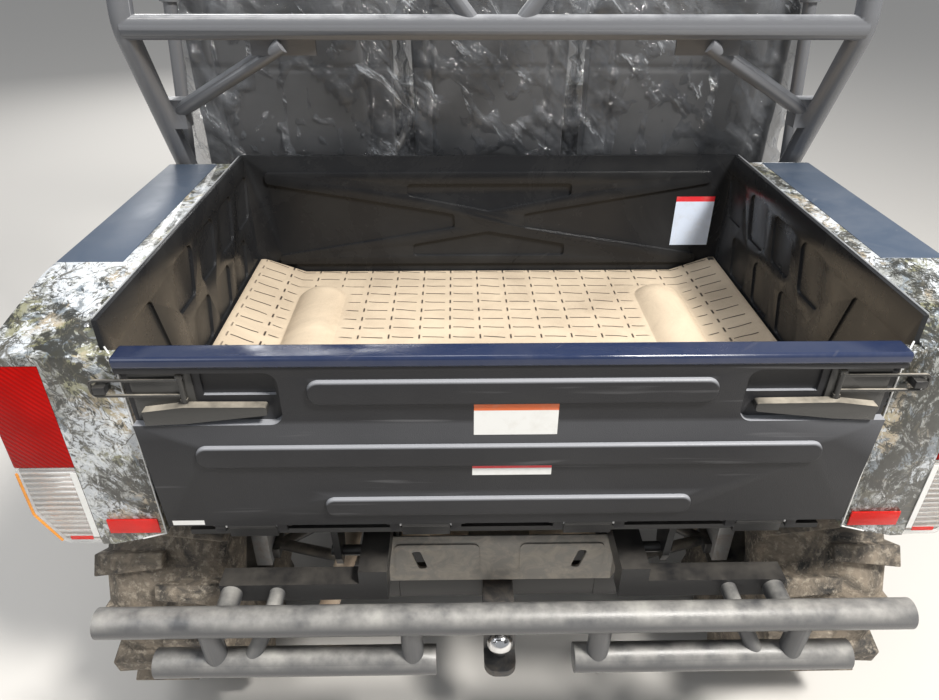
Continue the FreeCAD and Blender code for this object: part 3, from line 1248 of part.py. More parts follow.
bed_pieces += [
    block("bed_sill", f"-{sill_half}", sill_half, "bed_rear", "bed_rear + 5", "lamp_bottom", "bed_bottom"),
    block("bed_sill_lip", f"-{sill_half}", sill_half, "side_rear + 4", "bed_rear + 5", "lamp_bottom",
          "gate_pin_z - 19"),
    block("bed_cross", "-bed_inner_half + 20", "bed_inner_half - 20", "rear_axle_y + 44", "rear_axle_y + 84",
          "bed_bottom - 30", "bed_bottom")]
node("bed_frame", fused("bed_frame_parts", bed_pieces))

# body-coloured bed sides with rear corner posts, rail caps, tail lamps and reflectors

side_length = "(side_front - side_rear)"
side_panel = extruded("side_panel", "XZ", "side_front", side_length, [
    ("bed_outer", "side_bottom + 100"), ("reflector_inner", "lamp_bottom + 4"),
    ("reflector_outer", "side_bottom - 2"), ("side_outer - 33", "side_bottom"),
    ("side_outer", "side_bottom + 67"),
    ("side_outer", "bed_top - 110"), ("side_outer - 28", "bed_top"), ("bed_outer", "bed_top")])
round_edges(side_panel, "16", lambda edge: runs_along(edge, V(0, 1, 0))
            and edge.CenterOfMass.x > s.side_outer - 34)
pocket(side_panel, "YZ", "0", "side_outer * 2", [
    ("slope_start", "bed_top + 1"), ("side_rear - 1", "bed_top + 1"), ("side_rear - 1", "tail_top"),
    ("slope_start", "bed_top")])
pocket(side_panel, "YZ", "0", "side_outer * 2", [
    ("side_front + 1", "side_bottom - 10"), ("rear_axle_y + 100", "side_bottom - 10"),
    ("rear_axle_y + 100", "side_bottom + 60"), ("side_front + 1", "hoop_foot_z + 12")])
pocket(side_panel, "XZ", "side_front + 1", f"{side_length} - 15", rectangle(
    "reflector_inner - 5", "bed_outer", "side_bottom - 5", "side_bottom + 120"))
corner_post = block("corner_post", "gate_half_top + gate_gap", "bed_outer", "side_rear", "bed_rear - 2",
                    "lamp_bottom + 4", "tail_top")
side_solid = fused("side_with_post", [
    cut("side_with_arch", side_panel, arch("bed_arch", "rear_axle_y", "rear_arch")), corner_post])
lamp_limits = ("lamp_inner", "side_outer + 1", "side_rear - 1", "lamp_front")
deck = 14
red_room = extruded("red_room", "YZ", "lamp_inner", "side_outer - lamp_inner + 1", [
    ("side_rear - 1", "lamp_split"), ("lamp_front", "lamp_split"),
    ("lamp_front", f"bed_top - (slope_start - lamp_front) / slope_length * tail_step - {deck}"),
    ("side_rear - 1", f"tail_top - {deck}")])
clear_room = block("clear_room", *lamp_limits, "side_bottom - 5", "lamp_split")
cap = block("rail_cap", "cap_inner", "cap_outer", "slope_start", "side_front - 5", "bed_top - cap_depth",
            "bed_top + 1")
side_shell = cut("side_shell", side_solid, red_room, clear_room, cap)
reflector = block("reflector", "reflector_inner + 5", "reflector_outer", "side_rear - 3", "side_rear",
                  "reflector_bottom", "reflector_bottom + reflector_height")
for label, thing in (("bed_sides", side_shell), ("rail_caps", cap),
                     ("tail_lamps_red", common("red_lens", side_solid, red_room)),
                     ("tail_lamps_clear", common("clear_lens", side_solid, clear_room)),
                     ("rear_reflectors", reflector)):
    node(label, group(label + "_pair", [thing, mirrored(thing)]))

# tailgate: panel with rounded ribs and stepped latch pockets, smooth cap and the four hinges

panel = extruded("gate", "XZ", "gate_inner_y", "gate_thick", both_sides([
    ("gate_half_bottom", "gate_bottom"), ("gate_half_top", "panel_top")]))
# ribs: share of the half width, share of the height, width of the rib
for reach, low, width in ((0.54, 0.748, 41), (0.867, 0.387, 40), (0.531, 0.072, 36)):
    rib_low = f"(gate_bottom + gate_height * {low})"
    pad(panel, "XZ", "gate_outer_y + 1", "gate_rib_height + 1",
        rectangle(f"-gate_half_bottom * {reach}", f"gate_half_bottom * {reach}", rib_low,
                  f"{rib_low} + {width}"), f"{width} * 0.45")
pocket_high = "(panel_top - 9)"
pocket_low = f"({pocket_high} - latch_pocket_height)"
pocket_inner = "(gate_half_top - latch_pocket)"
shelf = [(pocket_inner, pocket_low), ("gate_half_top + 1", pocket_low), ("gate_half_top + 1", pocket_high),
         (pocket_inner, pocket_high)]
well = rectangle(f"{pocket_inner} + 8", f"{pocket_inner} + 112", f"{pocket_low} + 44", f"{pocket_high} - 6")
for outline, depth, radius in ((shelf, "latch_shelf", "22"), (well, "latch_well", "16")):
    for corners in (outline, flipped(outline)):
        pocket(panel, "XZ", "gate_outer_y + " + depth, depth + " + 1", corners)
round_edges(panel, "20", lambda edge: runs_along(edge, V(0, 1, 0))
            and abs(abs(edge.CenterOfMass.x) - number(pocket_inner)) < 1
            and edge.CenterOfMass.z > number(pocket_low) - 1)
gate_parts, hinges = [panel], []
eye_length = "16"
for left in ("-hinge_outer - hinge_width", "-hinge_inner - hinge_width", "hinge_inner", "hinge_outer"):
    tag = f"hinge{len(hinges)}"
    hinges.append(fused(tag, [
        bar(tag + "_barrel", "gate_barrel_radius", "hinge_width - 50", f"{left} + 25", "gate_pin_y",
            "gate_pin_z"),
        bar(tag + "_pin", "gate_pin_radius", "hinge_width", left, "gate_pin_y", "gate_pin_z"),
        block(tag + "_plate", f"{left} + 25", f"{left} + hinge_width - 25", "gate_pin_y - 2", "side_rear + 4",
              "lamp_bottom + 2", "gate_pin_z")]))
    for end, start in (("a", f"{left} + 6"), ("b", f"{left} + hinge_width - 22")):
        eye_plate = block(f"{tag}_lug_{end}", start, f"{start} + {eye_length}", "gate_pin_y - 10",
                          "gate_pin_y + 10", "gate_pin_z - 9", "gate_bottom + 1")
        eye = bar(f"{tag}_eye_{end}", "gate_pin_radius + running_clearance", f"{eye_length} + 2", f"{start} - 1",
                  "gate_pin_y", "gate_pin_z")
        gate_parts.append(cut(f"{tag}_bored_{end}", eye_plate, eye))
node("tailgate_panel", fused("gate_with_lugs", gate_parts))
node("tailgate_hinges", group("hinge_set", hinges))
gate_cap = extruded("gate_cap", "YZ", "-gate_half_top", "gate_half_top * 2", rectangle(
    "gate_outer_y - 4", "gate_inner_y + 1", "panel_top", "gate_top"), "6")
node("tailgate_cap", gate_cap)

# over-centre draw latches: base, tapered handle, upright pin and a bail round a peg on the bed's corner

latch_face = "(gate_outer_y + latch_shelf)"
bail_y = s.gate_outer_y + s.latch_shelf - 6
bail_inner, bail_outer = s.gate_half_top - 85, s.bed_outer + 10
bail_high, bail_low = number(pocket_high) - 16, number(pocket_high) - 42
base = block("latch_base", "gate_half_top - 100", "gate_half_top - 12", f"{latch_face} - 3", latch_face,
             f"{pocket_low} + 2", f"{pocket_high} - 3")
handle = extruded("latch_handle", "XZ", f"{latch_face} - 3", "15", [
    (f"{pocket_inner} + 20", f"{pocket_low} + 20"), ("gate_half_top - 85", f"{pocket_low} + 6"),
    ("gate_half_top - 25", f"{pocket_low} + 3"), ("gate_half_top - 25", f"{pocket_low} + 27"),
    ("gate_half_top - 85", f"{pocket_low} + 35"), (f"{pocket_inner} + 20", f"{pocket_low} + 34")])
round_edges(handle, "5", lambda edge: runs_along(edge, V(0, 1, 0))
            and edge.CenterOfMass.x < number(pocket_inner) + 21)
pivot = rod((bail_inner, bail_y, number(pocket_low) + 30), (bail_inner, bail_y, bail_high + 6), 4)
bail = bent_tube([(bail_inner, bail_y, bail_high), (bail_outer, bail_y, bail_high),
                  (bail_outer, bail_y, bail_low), (bail_inner, bail_y, bail_low)], s.bail_radius, 9)
ears = [Part.makeBox(10, 8, 6, V(bail_inner - 5, bail_y - 3, low)) for low in (bail_high + 3, bail_low - 12)]
wire = computed("latch_bail", merged([pivot, bail] + ears))
latch = fused("latch", [base, handle, wire])
node("latches", group("latch_pair", [latch, mirrored(latch)]))
peg_z = (bail_high + bail_low) / 2
peg = block("latch_peg", "bed_outer - 13", "bed_outer + 4", "side_rear - 20", "side_rear", f"{peg_z} - 6",
            f"{peg_z} + 6")
node("latch_pegs", group("peg_pair", [peg, mirrored(peg)]))

# write each finished sub-part

document.recompute()
for thing in document.Objects:
    if {"Invalid", "Error"} & set(thing.State):
        raise ValueError(f"{thing.Name} failed: {thing.State}")
os.makedirs("parts", exist_ok=True)
for thing in nodes:
    shape = thing.Shape
    if shape.isNull() or not shape.isValid():
        raise ValueError(f"{thing.Label} is not a valid solid")
    shape.exportStep(f"parts/{thing.Label}.step")
    bounds = shape.BoundBox
    print(thing.Label, len(shape.Solids), round(shape.Volume / 1e6, 2),
          [round(value) for value in (bounds.XMin, bounds.XMax, bounds.YMin, bounds.YMax)],
          [round(bounds.ZMin), round(bounds.ZMax)])
print(len(nodes), "nodes")
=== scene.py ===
import json
import math

import bmesh
import bpy
from mathutils import Matrix, Vector
from mathutils import noise as field
from mathutils.bvhtree import BVHTree


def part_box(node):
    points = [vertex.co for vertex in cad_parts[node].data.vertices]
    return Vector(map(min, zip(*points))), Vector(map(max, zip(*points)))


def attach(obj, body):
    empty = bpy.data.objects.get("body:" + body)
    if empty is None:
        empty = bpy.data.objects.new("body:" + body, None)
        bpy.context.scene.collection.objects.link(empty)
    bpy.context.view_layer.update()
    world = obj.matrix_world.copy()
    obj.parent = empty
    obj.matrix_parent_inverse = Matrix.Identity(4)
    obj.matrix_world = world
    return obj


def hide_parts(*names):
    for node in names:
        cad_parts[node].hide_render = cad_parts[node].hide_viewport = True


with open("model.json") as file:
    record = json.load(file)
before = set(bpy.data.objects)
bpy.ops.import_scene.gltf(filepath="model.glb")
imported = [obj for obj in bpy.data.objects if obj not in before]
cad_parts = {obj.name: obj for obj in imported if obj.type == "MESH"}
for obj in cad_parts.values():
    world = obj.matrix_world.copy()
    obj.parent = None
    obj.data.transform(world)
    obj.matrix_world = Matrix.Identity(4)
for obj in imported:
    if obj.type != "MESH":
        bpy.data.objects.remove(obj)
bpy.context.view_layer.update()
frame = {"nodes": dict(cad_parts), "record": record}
MM = 0.001
BODY_OF = {node: body for body, members in frame["record"]["behaviour"]["bodies"].items() for node in members}


# camera, floor and light

CAMERA_PLACE = Vector((-0.0778, -2.1952, 1.5268))
CAMERA_PITCH, CAMERA_YAW, CAMERA_ROLL = math.radians(31.442), math.radians(1.0541), math.radians(0.1579)
CAMERA_LENS, CAMERA_SENSOR = 27.06, 36


def shown(name, data):
    """A new object at the origin that shows a mesh, a lamp or a camera."""
    item = bpy.data.objects.new(name, data)
    bpy.context.scene.collection.objects.link(item)
    return item


def make_camera():
    """The photograph's view: behind the tailgate, looking down into the bed."""
    data = bpy.data.cameras.new("camera")
    data.sensor_width = CAMERA_SENSOR
    data.lens = CAMERA_LENS
    data.clip_start = 0.05
    camera = shown("camera", data)
    ahead = Vector((math.sin(CAMERA_YAW) * math.cos(CAMERA_PITCH),
                    math.cos(CAMERA_YAW) * math.cos(CAMERA_PITCH), -math.sin(CAMERA_PITCH)))
    across = ahead.cross(Vector((0, 0, 1))).normalized()
    up = across.cross(ahead)
    right = across * math.cos(CAMERA_ROLL) + up * math.sin(CAMERA_ROLL)
    top = right.cross(ahead)
    turn = Matrix((right, top, -ahead)).transposed().to_4x4()
    camera.matrix_world = Matrix.Translation(CAMERA_PLACE) @ turn
    bpy.context.scene.camera = camera


FLOOR_REACH, FLOOR_COLOUR, FLOOR_ROUGHNESS = 30, (0.62, 0.6, 0.57, 1), 0.9
SKY_COLOUR = (0.93, 0.96, 1, 1)
# the surround's strength as a light, and as the camera sees it
WORLD_LEVEL, SEEN_LEVEL = 0.4, 0.9
# name, place, aim, size, power, colour
LAMPS = (
    ("key", (1.9, -2.9, 4.4), (0, -0.9, 0.8), 0.8, 345, (1, 0.97, 0.92)),
    ("fill", (-3.6, -3.2, 3.2), (0, -0.8, 0.7), 2.6, 50, (0.94, 0.97, 1)),
    ("bed", (-0.3, -0.6, 4.2), (0, -0.9, 0.7), 1.4, 35, (0.98, 0.98, 1)),
    ("front", (-2.2, 5.2, 3.6), (0, 0.8, 0.7), 2.6, 150, (1, 0.99, 0.97)),
)


def make_lamp(name, place, aim, size, power, colour):
    """A square soft lamp that points at a spot."""
    data = bpy.data.lights.new(name, "AREA")
    data.size = size
    data.energy = power
    data.color = colour
    lamp = shown(name, data)
    way = Vector(aim) - Vector(place)
    lamp.matrix_world = Matrix.Translation(place) @ way.to_track_quat("-Z", "Y").to_matrix().to_4x4()


def make_studio():
    """A pale floor, a pale surround and soft lamps above the rear, the left and the nose."""
    floor = bpy.data.meshes.new("studio_floor")
    corners = [(across * FLOOR_REACH, along * FLOOR_REACH, 0) for across, along in ((-1, -1), (1, -1), (1, 1), (-1, 1))]
    floor.from_pydata(corners, [], [(0, 1, 2, 3)])
    stand = shown("studio_floor", floor)
    paint = bpy.data.materials.new("studio_floor")
    paint.use_nodes = True
    shader = paint.node_tree.nodes["Principled BSDF"]
    shader.inputs["Base Color"].default_value = FLOOR_COLOUR
    shader.inputs["Roughness"].default_value = FLOOR_ROUGHNESS
    floor.materials.append(paint)
    world = bpy.data.worlds.new("studio")
    world.use_nodes = True
    bpy.context.scene.world = world
    tree = world.node_tree
    background = tree.nodes["Background"]
    background.inputs["Color"].default_value = SKY_COLOUR
    rays = tree.nodes.new("ShaderNodeLightPath")
    seen = tree.nodes.new("ShaderNodeMath")
    seen.operation = "MAXIMUM"
    tree.links.new(rays.outputs["Is Camera Ray"], seen.inputs[0])
    tree.links.new(rays.outputs["Is Transmission Ray"], seen.inputs[1])
    level = tree.nodes.new("ShaderNodeMapRange")
    level.inputs["To Min"].default_value = WORLD_LEVEL
    level.inputs["To Max"].default_value = SEEN_LEVEL
    tree.links.new(seen.outputs[0], level.inputs["Value"])
    tree.links.new(level.outputs[0], background.inputs["Strength"])
    for lamp in LAMPS:
        make_lamp(*lamp)


# materials

class Finish:
    """A procedural finish under construction; its patterns read Object coordinates, in metres, and its dust and painted
    highlights the direction that a surface faces in the piece's own space."""

    def __init__(self, name, colour=(0.5, 0.5, 0.5), rough=0.5, metal=0.0):
        self.material = bpy.data.materials.new(name)
        self.material.use_nodes = True
        self.tree = self.material.node_tree
        self.shader = self.tree.nodes["Principled BSDF"]
        self.place = self.node("ShaderNodeTexCoord").outputs["Object"]
        self.set("Base Color", (*colour, 1))
        self.set("Roughness", rough)
        self.set("Metallic", metal)

    def feed(self, value, socket):
        """A constant goes on a socket, a pattern is linked to it."""
        if isinstance(value, bpy.types.NodeSocket):
            self.tree.links.new(value, socket)
        else:
            socket.default_value = value

    def set(self, socket, value):
        self.feed(value, self.shader.inputs[socket])
        return self

    def node(self, kind, inputs=None, **settings):
        item = self.tree.nodes.new(kind)
        for key, value in settings.items():
            setattr(item, key, value)
        for key, value in (inputs or {}).items():
            self.feed(value, item.inputs[key])
        return item

    def stretched(self, scale, turn=(0, 0, 0)):
        """Coordinates turned, then scaled, for patterns that are longer one way."""
        turned = self.node("ShaderNodeMapping", {"Vector": self.place, "Rotation": turn}).outputs[0]
        return self.node("ShaderNodeMapping", {"Vector": turned, "Scale": scale}).outputs[0]

    def noise(self, scale, detail=3.0, rough=0.5, bend=0.0, where=None):
        return self.node("ShaderNodeTexNoise", {
            "Vector": where or self.place, "Scale": scale, "Detail": detail, "Roughness": rough,
            "Distortion": bend}).outputs[0]

    def cells(self, scale):
        return self.node("ShaderNodeTexVoronoi", {"Vector": self.place, "Scale": scale},
                         feature="SMOOTH_F1").outputs["Distance"]

    def waves(self, scale, direction="X", bend=0.0):
        return self.node("ShaderNodeTexWave", {"Vector": self.place, "Scale": scale, "Distortion": bend},
                         bands_direction=direction).outputs["Fac"]

    def maths(self, operation, a, b=0.0, clamp=False):
        return self.node("ShaderNodeMath", {0: a, 1: b}, operation=operation, use_clamp=clamp).outputs[0]

    def product(self, *values):
        """Several values multiplied together."""
        total = values[0]
        for value in values[1:]:
            total = self.maths("MULTIPLY", total, value)
        return total

    def less(self, a, b):
        """One value without another."""
        return self.maths("SUBTRACT", a, b)

    def apart(self, a, b):
        """How far two values are apart."""
        return self.maths("ABSOLUTE", self.less(a, b))

    def between(self, value, low, high, to_low=0.0, to_high=1.0):
        """A value's range mapped to another, held at its ends."""
        return self.node("ShaderNodeMapRange", {"Value": value, "From Min": low, "From Max": high,
                                                "To Min": to_low, "To Max": to_high}).outputs[0]

    def mixed(self, share, *colours):
        """A colour between two, by a share."""
        first, second = ((*colour, 1) if isinstance(colour, tuple) else colour for colour in colours)
        return self.node("ShaderNodeMix", {0: share, 6: first, 7: second}, data_type="RGBA").outputs[2]

    def axis(self, letter):
        """One coordinate of the place."""
        return self.node("ShaderNodeSeparateXYZ", {0: self.place}).outputs[letter]

    def facing(self, low, high=0.9):
        """How far a surface faces up at rest; it stays with the piece when that turns."""
        normal = self.node("ShaderNodeTexCoord").outputs["Normal"]
        return self.between(self.node("ShaderNodeSeparateXYZ", {0: normal}).outputs["Z"], low, high)

    def bump(self, height, depth, strength=1.0):
        """Relief of a depth in metres."""
        item = self.node("ShaderNodeBump", {"Height": height, "Distance": depth, "Strength": strength})
        return self.set("Normal", item.outputs[0])


# leather grain of moulded plastic: cells per metre and depth in metres
GRAIN, GRAIN_DEPTH = 750, 0.0004


def dust_and_top_highlight(finish, base, dust, amount, rough, scale, low):
    """Settled dust in soft patches, thickest where a surface faces up; on the cage and bumper tubes this pale colour on
    top is also a painted highlight.
    """
    patches = finish.between(finish.noise(scale, 5, 0.6), 0.3, 0.72)
    share = finish.product(patches, finish.facing(low), amount)
    finish.set("Base Color", finish.mixed(share, base, dust))
    finish.set("Roughness", finish.between(share, 0, amount, *rough))
    return share


def camouflage():
    """Mottled woodland camouflage under clear lacquer: fine dark and pale crumbs, streaks, leaf tints and twigs."""
    finish = Finish("camouflage", rough=0.3)
    bark = finish.stretched((1, 1, 0.35), (0.5, 0.25, 0.3))
    leaning = finish.stretched((1, 0.32, 1), (0.9, 0.3, 0.5))
    ground = finish.less(finish.between(finish.noise(6.5, 4, 0.6, 0.8), 0.36, 0.64), 0.5)
    crumbs = finish.between(finish.noise(52, 8, 0.82, 0.6, bark), 0.46, 0.55)
    colour = finish.mixed(crumbs, (0.05, 0.05, 0.042), (0.30, 0.31, 0.30))
    # share, colour, coordinates, noise scale, detail, roughness, bend, pull of the ground, threshold low and high
    layers = (
        (0.75, (0.23, 0.225, 0.12), leaning, 11, 5, 0.62, 1.2, 0.0, 0.53, 0.6),
        (0.7, (0.44, 0.36, 0.25), bark, 9, 5, 0.62, 1.4, 0.05, 0.54, 0.62),
        (0.9, (0.16, 0.19, 0.22), leaning, 19, 7, 0.7, 1.0, 0.0, 0.55, 0.6),
        (0.95, (0.52, 0.55, 0.585), leaning, 44, 8, 0.8, 1.0, 0.17, 0.52, 0.555),
        (0.95, (0.02, 0.02, 0.016), bark, 28, 9, 0.8, 1.2, -0.1, 0.52, 0.545),
        (0.9, (0.64, 0.66, 0.67), bark, 75, 7, 0.8, 1.6, 0.14, 0.57, 0.6),
        (0.9, (0.025, 0.025, 0.02), leaning, 90, 6, 0.8, 0.8, -0.06, 0.57, 0.6),
    )
    for share, tone, where, scale, detail, rough, bend, pull, low, high in layers:
        pattern = finish.maths("ADD", finish.noise(scale, detail, rough, bend, where),
                               finish.product(ground, pull))
        colour = finish.mixed(finish.product(finish.between(pattern, low, high), share), colour, tone)
    twig = finish.apart(finish.noise(13, 3, 0.55, 1.0, leaning), 0.5)
    colour = finish.mixed(finish.between(twig, 0.011, 0.004, 0, 0.85), colour, (0.06, 0.055, 0.04))
    finish.set("Base Color", colour)
    finish.set("Coat Weight", 0.4)
    finish.set("Coat Roughness", 0.1)
    finish.set("Roughness", finish.between(finish.noise(30, 3), 0.3, 0.7, 0.25, 0.42))
    return finish.bump(finish.noise(420, 2), 0.0002, 0.25).material


def grained_plastic(name, base, dust, amount):
    """Moulded black plastic with a fine leather grain and some dust in it."""
    finish = Finish(name)
    share = dust_and_top_highlight(finish, base, dust, amount, (0.34, 0.62), 9, -0.6)
    height = finish.maths("ADD", finish.cells(GRAIN), finish.product(share, 0.4))
    return finish.bump(height, GRAIN_DEPTH, 0.7).material


def gate_plastic():
    """The tailgate's grained black plastic: pale on what faces up, partly dust and partly a painted highlight, faintly
    scratched along its length.
    """
    finish = Finish("gate_plastic")
    soft = finish.between(finish.noise(4, 4, 0.55), 0.3, 0.75)
    colour = finish.mixed(soft, (0.017, 0.017, 0.019), (0.03, 0.03, 0.032))
    scratch = finish.between(finish.noise(70, 2, 0.5, 0.3, finish.stretched((0.05, 1, 1))), 0.64, 0.74)
    colour = finish.mixed(finish.product(scratch, 0.16), colour, (0.3, 0.3, 0.31))
    # painted highlight and dust: faces that point up, the ribs' tops among them, are mixed towards pale bluish grey
    colour = finish.mixed(finish.product(finish.facing(0.12, 0.85), 0.75), colour, (0.36, 0.37, 0.4))
    finish.set("Base Color", colour)
    finish.set("Roughness", finish.between(soft, 0, 1, 0.36, 0.5))
    finish.set("Specular IOR Level", 0.25)
    return finish.bump(finish.cells(GRAIN), GRAIN_DEPTH, 0.7).material


def coated_tube(name, base, dust, amount, low=0.0, rough=(0.3, 0.6)):
    """Textured powder coat on steel tube."""
    finish = Finish(name)
    dust_and_top_highlight(finish, base, dust, amount, rough, 16, low)
    return finish.bump(finish.noise(520, 3, 0.6), 0.0005, 0.6).material


def glossy_paint(name, base, dust, amount, rough=0.14, scale=7.0, shine=0.5):
    """Smooth gloss paint with a slight orange peel, soft dust and a few fine scratches."""
    finish = Finish(name)
    film = finish.between(finish.noise(scale, 6, 0.68, 0.6), 0.42, 0.8)
    slanting = finish.stretched((1, 0.06, 1), (0.2, 0.5, 0.9))
    scratch = finish.between(finish.noise(60, 2, 0.5, 0.5, slanting), 0.7, 0.74)
    grime = finish.product(finish.maths("MAXIMUM", film, scratch), amount)
    finish.set("Base Color", finish.mixed(grime, base, dust))
    finish.set("Roughness", finish.between(film, 0, 1, rough, rough + 0.22))
    finish.set("Specular IOR Level", shine)
    return finish.bump(finish.noise(130, 2), 0.0005, 0.12).material


# the bed mat in metres: a groove's cell, the domes' places, half width and front end, and where the plain edge starts
MAT_COLUMN, MAT_ROW = 0.066, 0.041
DOME_OFFSET, DOME_HALF, DOME_END, MAT_PLAIN = 0.4, 0.062, -0.64, 0.556


def dusty_rubber():
    """The bed mat: black rubber under dry tan dust, with rows of short grooves except on its two domes."""
    finish = Finish("dusty_rubber")
    worn = finish.between(finish.noise(5, 6, 0.65, 0.6), 0.36, 0.64)
    colour = finish.mixed(worn, (0.46, 0.37, 0.27), (0.62, 0.51, 0.375))
    fine = finish.between(finish.noise(330, 3, 0.6), 0.35, 0.7)
    colour = finish.mixed(finish.product(fine, 0.25), colour, (0.7, 0.59, 0.45))
    across, along = finish.axis("X"), finish.axis("Y")
    column = finish.maths("FRACT", finish.maths("ADD", finish.maths("DIVIDE", across, MAT_COLUMN), 40.5))
    slant = finish.product(finish.less(column, 0.5), 0.13)
    wave = finish.product(finish.less(finish.noise(16, 1), 0.5), 0.3)
    row = finish.maths("FRACT", finish.maths("ADD", finish.maths("DIVIDE", along, MAT_ROW),
                                             finish.maths("ADD", finish.maths("ADD", slant, wave), 60.0)))

    def band(value, middle, half):
        """1 inside a band of a repeating coordinate, softly 0 outside."""
        return finish.between(finish.apart(value, middle), half, half * 0.55)

    thin = finish.product(band(row, 0.5, 0.045), finish.between(finish.apart(column, 0.5), 0.36, 0.34))
    thick = finish.product(band(column, 0.04, 0.034), band(row, 0.5, 0.26))
    side = finish.maths("ABSOLUTE", across)
    beside_dome = finish.between(finish.apart(side, DOME_OFFSET), DOME_HALF, 0.07)
    ahead_of_dome = finish.between(along, DOME_END, -0.63)
    plain_edge = finish.between(side, 0.562, MAT_PLAIN)
    grooves = finish.product(finish.maths("MAXIMUM", thin, thick),
                             finish.maths("MAXIMUM", beside_dome, ahead_of_dome), plain_edge, finish.facing(0.5, 0.6))
    colour = finish.mixed(grooves, colour, (0.06, 0.045, 0.035))
    finish.set("Base Color", finish.mixed(finish.less(1.0, finish.facing(0.2, 0.6)), colour,
                                          (0.1, 0.08, 0.062)))
    finish.set("Roughness", 0.82)
    relief = finish.less(finish.product(finish.noise(500, 3), 0.12), grooves)
    return finish.bump(relief, 0.003, 0.8).material


def muddy_rubber():
    """Tyre rubber with pale dried mud in patches and paler spots."""
    finish = Finish("muddy_rubber")
    crust = finish.between(finish.noise(13, 8, 0.7, 0.8), 0.36, 0.6)
    colour = finish.mixed(crust, (0.025, 0.024, 0.023), (0.24, 0.2, 0.155))
    spots = finish.between(finish.noise(85, 5, 0.7), 0.52, 0.64)
    colour = finish.mixed(finish.product(spots, 0.6), colour, (0.4, 0.35, 0.28))
    finish.set("Base Color", colour)
    finish.set("Roughness", finish.between(crust, 0, 1, 0.6, 0.95))
    lumps = finish.maths("ADD", crust, finish.noise(160, 5, 0.65))
    return finish.bump(lumps, 0.0025, 0.7).material


def upholstery():
    """Dark grey coated seat fabric with a fine pebbled weave."""
    finish = Finish("upholstery")
    tone = finish.between(finish.noise(5, 3), 0.3, 0.7)
    finish.set("Base Color", finish.mixed(tone, (0.04, 0.042, 0.046), (0.075, 0.077, 0.082)))
    finish.set("Roughness", 0.6)
    finish.set("Sheen Weight", 0.15)
    weave = finish.product(finish.waves(260, "X"), finish.waves(260, "Z"))
    return finish.bump(finish.maths("ADD", weave, finish.noise(500, 2)), 0.0004, 0.5).material


def clear_film():
    """Thin clear protective film: it darkens what is behind it, shines on its folds, and is white on its creases,
    partly haze and partly a painted highlight.
    """
    finish = Finish("clear_film", rough=0.13)
    diagonal = finish.stretched((1, 0.4, 0.22), (0.0, 0.7, 0.0))
    crease = finish.between(finish.noise(17, 6, 0.7, 1.6, diagonal), 0.57, 0.72)
    cloud = finish.between(finish.noise(5, 4, 0.6, 0.8), 0.35, 0.8)
    # painted highlight and haze on the creases, haze in the cloudy patches: both are mixed towards white
    white = finish.maths("ADD", crease, finish.product(cloud, 0.34), True)
    finish.set("Base Color", finish.mixed(white, (0.03, 0.034, 0.042), (0.78, 0.82, 0.88)))
    finish.set("Alpha", finish.maths("ADD", finish.product(white, 0.4), 0.3, True))
    finish.set("Specular IOR Level", 1.0)
    wrinkles = finish.maths("ADD", finish.noise(11, 6, 0.6, 1.8, diagonal), finish.product(crease, 0.3))
    return finish.bump(wrinkles, 0.03, 1.0).material


def worn_steel(name, base, dust, amount, rough=0.35, metal=0.9):
    """Bare or plated steel with blotches of grime."""
    finish = Finish(name, metal=metal)
    stain = finish.between(finish.noise(28, 7, 0.7, 0.7), 0.45, 0.68)
    finish.set("Base Color", finish.mixed(finish.product(stain, amount), base, dust))
    finish.set("Roughness", finish.between(stain, 0, 1, rough, rough + 0.3))
    return finish.bump(finish.noise(260, 4), 0.0003, 0.4).material


def lens(name, colour, alpha, ribs, depth, rough=0.1, direction="Z"):
    """A moulded lamp lens with fine ribs behind its face."""
    finish = Finish(name, colour, rough)
    finish.set("Alpha", alpha)
    finish.set("Specular IOR Level", 0.08 if alpha > 0.9 else 0.5)
    pattern = finish.waves(ribs, direction, 0.4)
    soft = finish.between(finish.noise(14, 3), 0.3, 0.7)
    tint = finish.product(pattern, soft)
    finish.set("Base Color", finish.mixed(tint, tuple(value * 0.72 for value in colour),
                                          tuple(min(1, value * 1.15) for value in colour)))
    return finish.bump(pattern, depth, 0.5).material


def ribbed_mirror():
    """A lamp's reflector: bright metal with bold level ribs, and painted brownish shade between the ribs and in soft
    patches.
    """
    finish = Finish("ribbed_mirror", rough=0.2, metal=0.85)
    ribs = finish.waves(30, "Z")
    # painted shade: brownish between the ribs and in soft patches
    painted_rib_shade = finish.between(finish.product(ribs, finish.noise(9, 3)), 0.1, 0.4)
    finish.set("Base Color", finish.mixed(painted_rib_shade, (0.34, 0.27, 0.22), (0.86, 0.85, 0.82)))
    return finish.bump(ribs, 0.003, 0.8).material


def plain_print(name, colour, rough=0.4):
    """A blank sticker's flat ink, slightly soiled."""
    finish = Finish(name, rough=rough)
    soil = finish.between(finish.noise(60, 4, 0.6), 0.5, 0.75)
    finish.set("Base Color", finish.mixed(finish.product(soil, 0.18), colour, (0.4, 0.36, 0.3)))
    return finish.bump(finish.noise(200, 2), 0.0001, 0.2).material


DUST = (0.42, 0.37, 0.30)
GREY_DUST = (0.27, 0.255, 0.235)
FINISHES = {
    "camouflage": camouflage(), "gate_plastic": gate_plastic(), "mat": dusty_rubber(), "tyre": muddy_rubber(),
    "upholstery": upholstery(), "film": clear_film(), "ribbed_mirror": ribbed_mirror(),
}
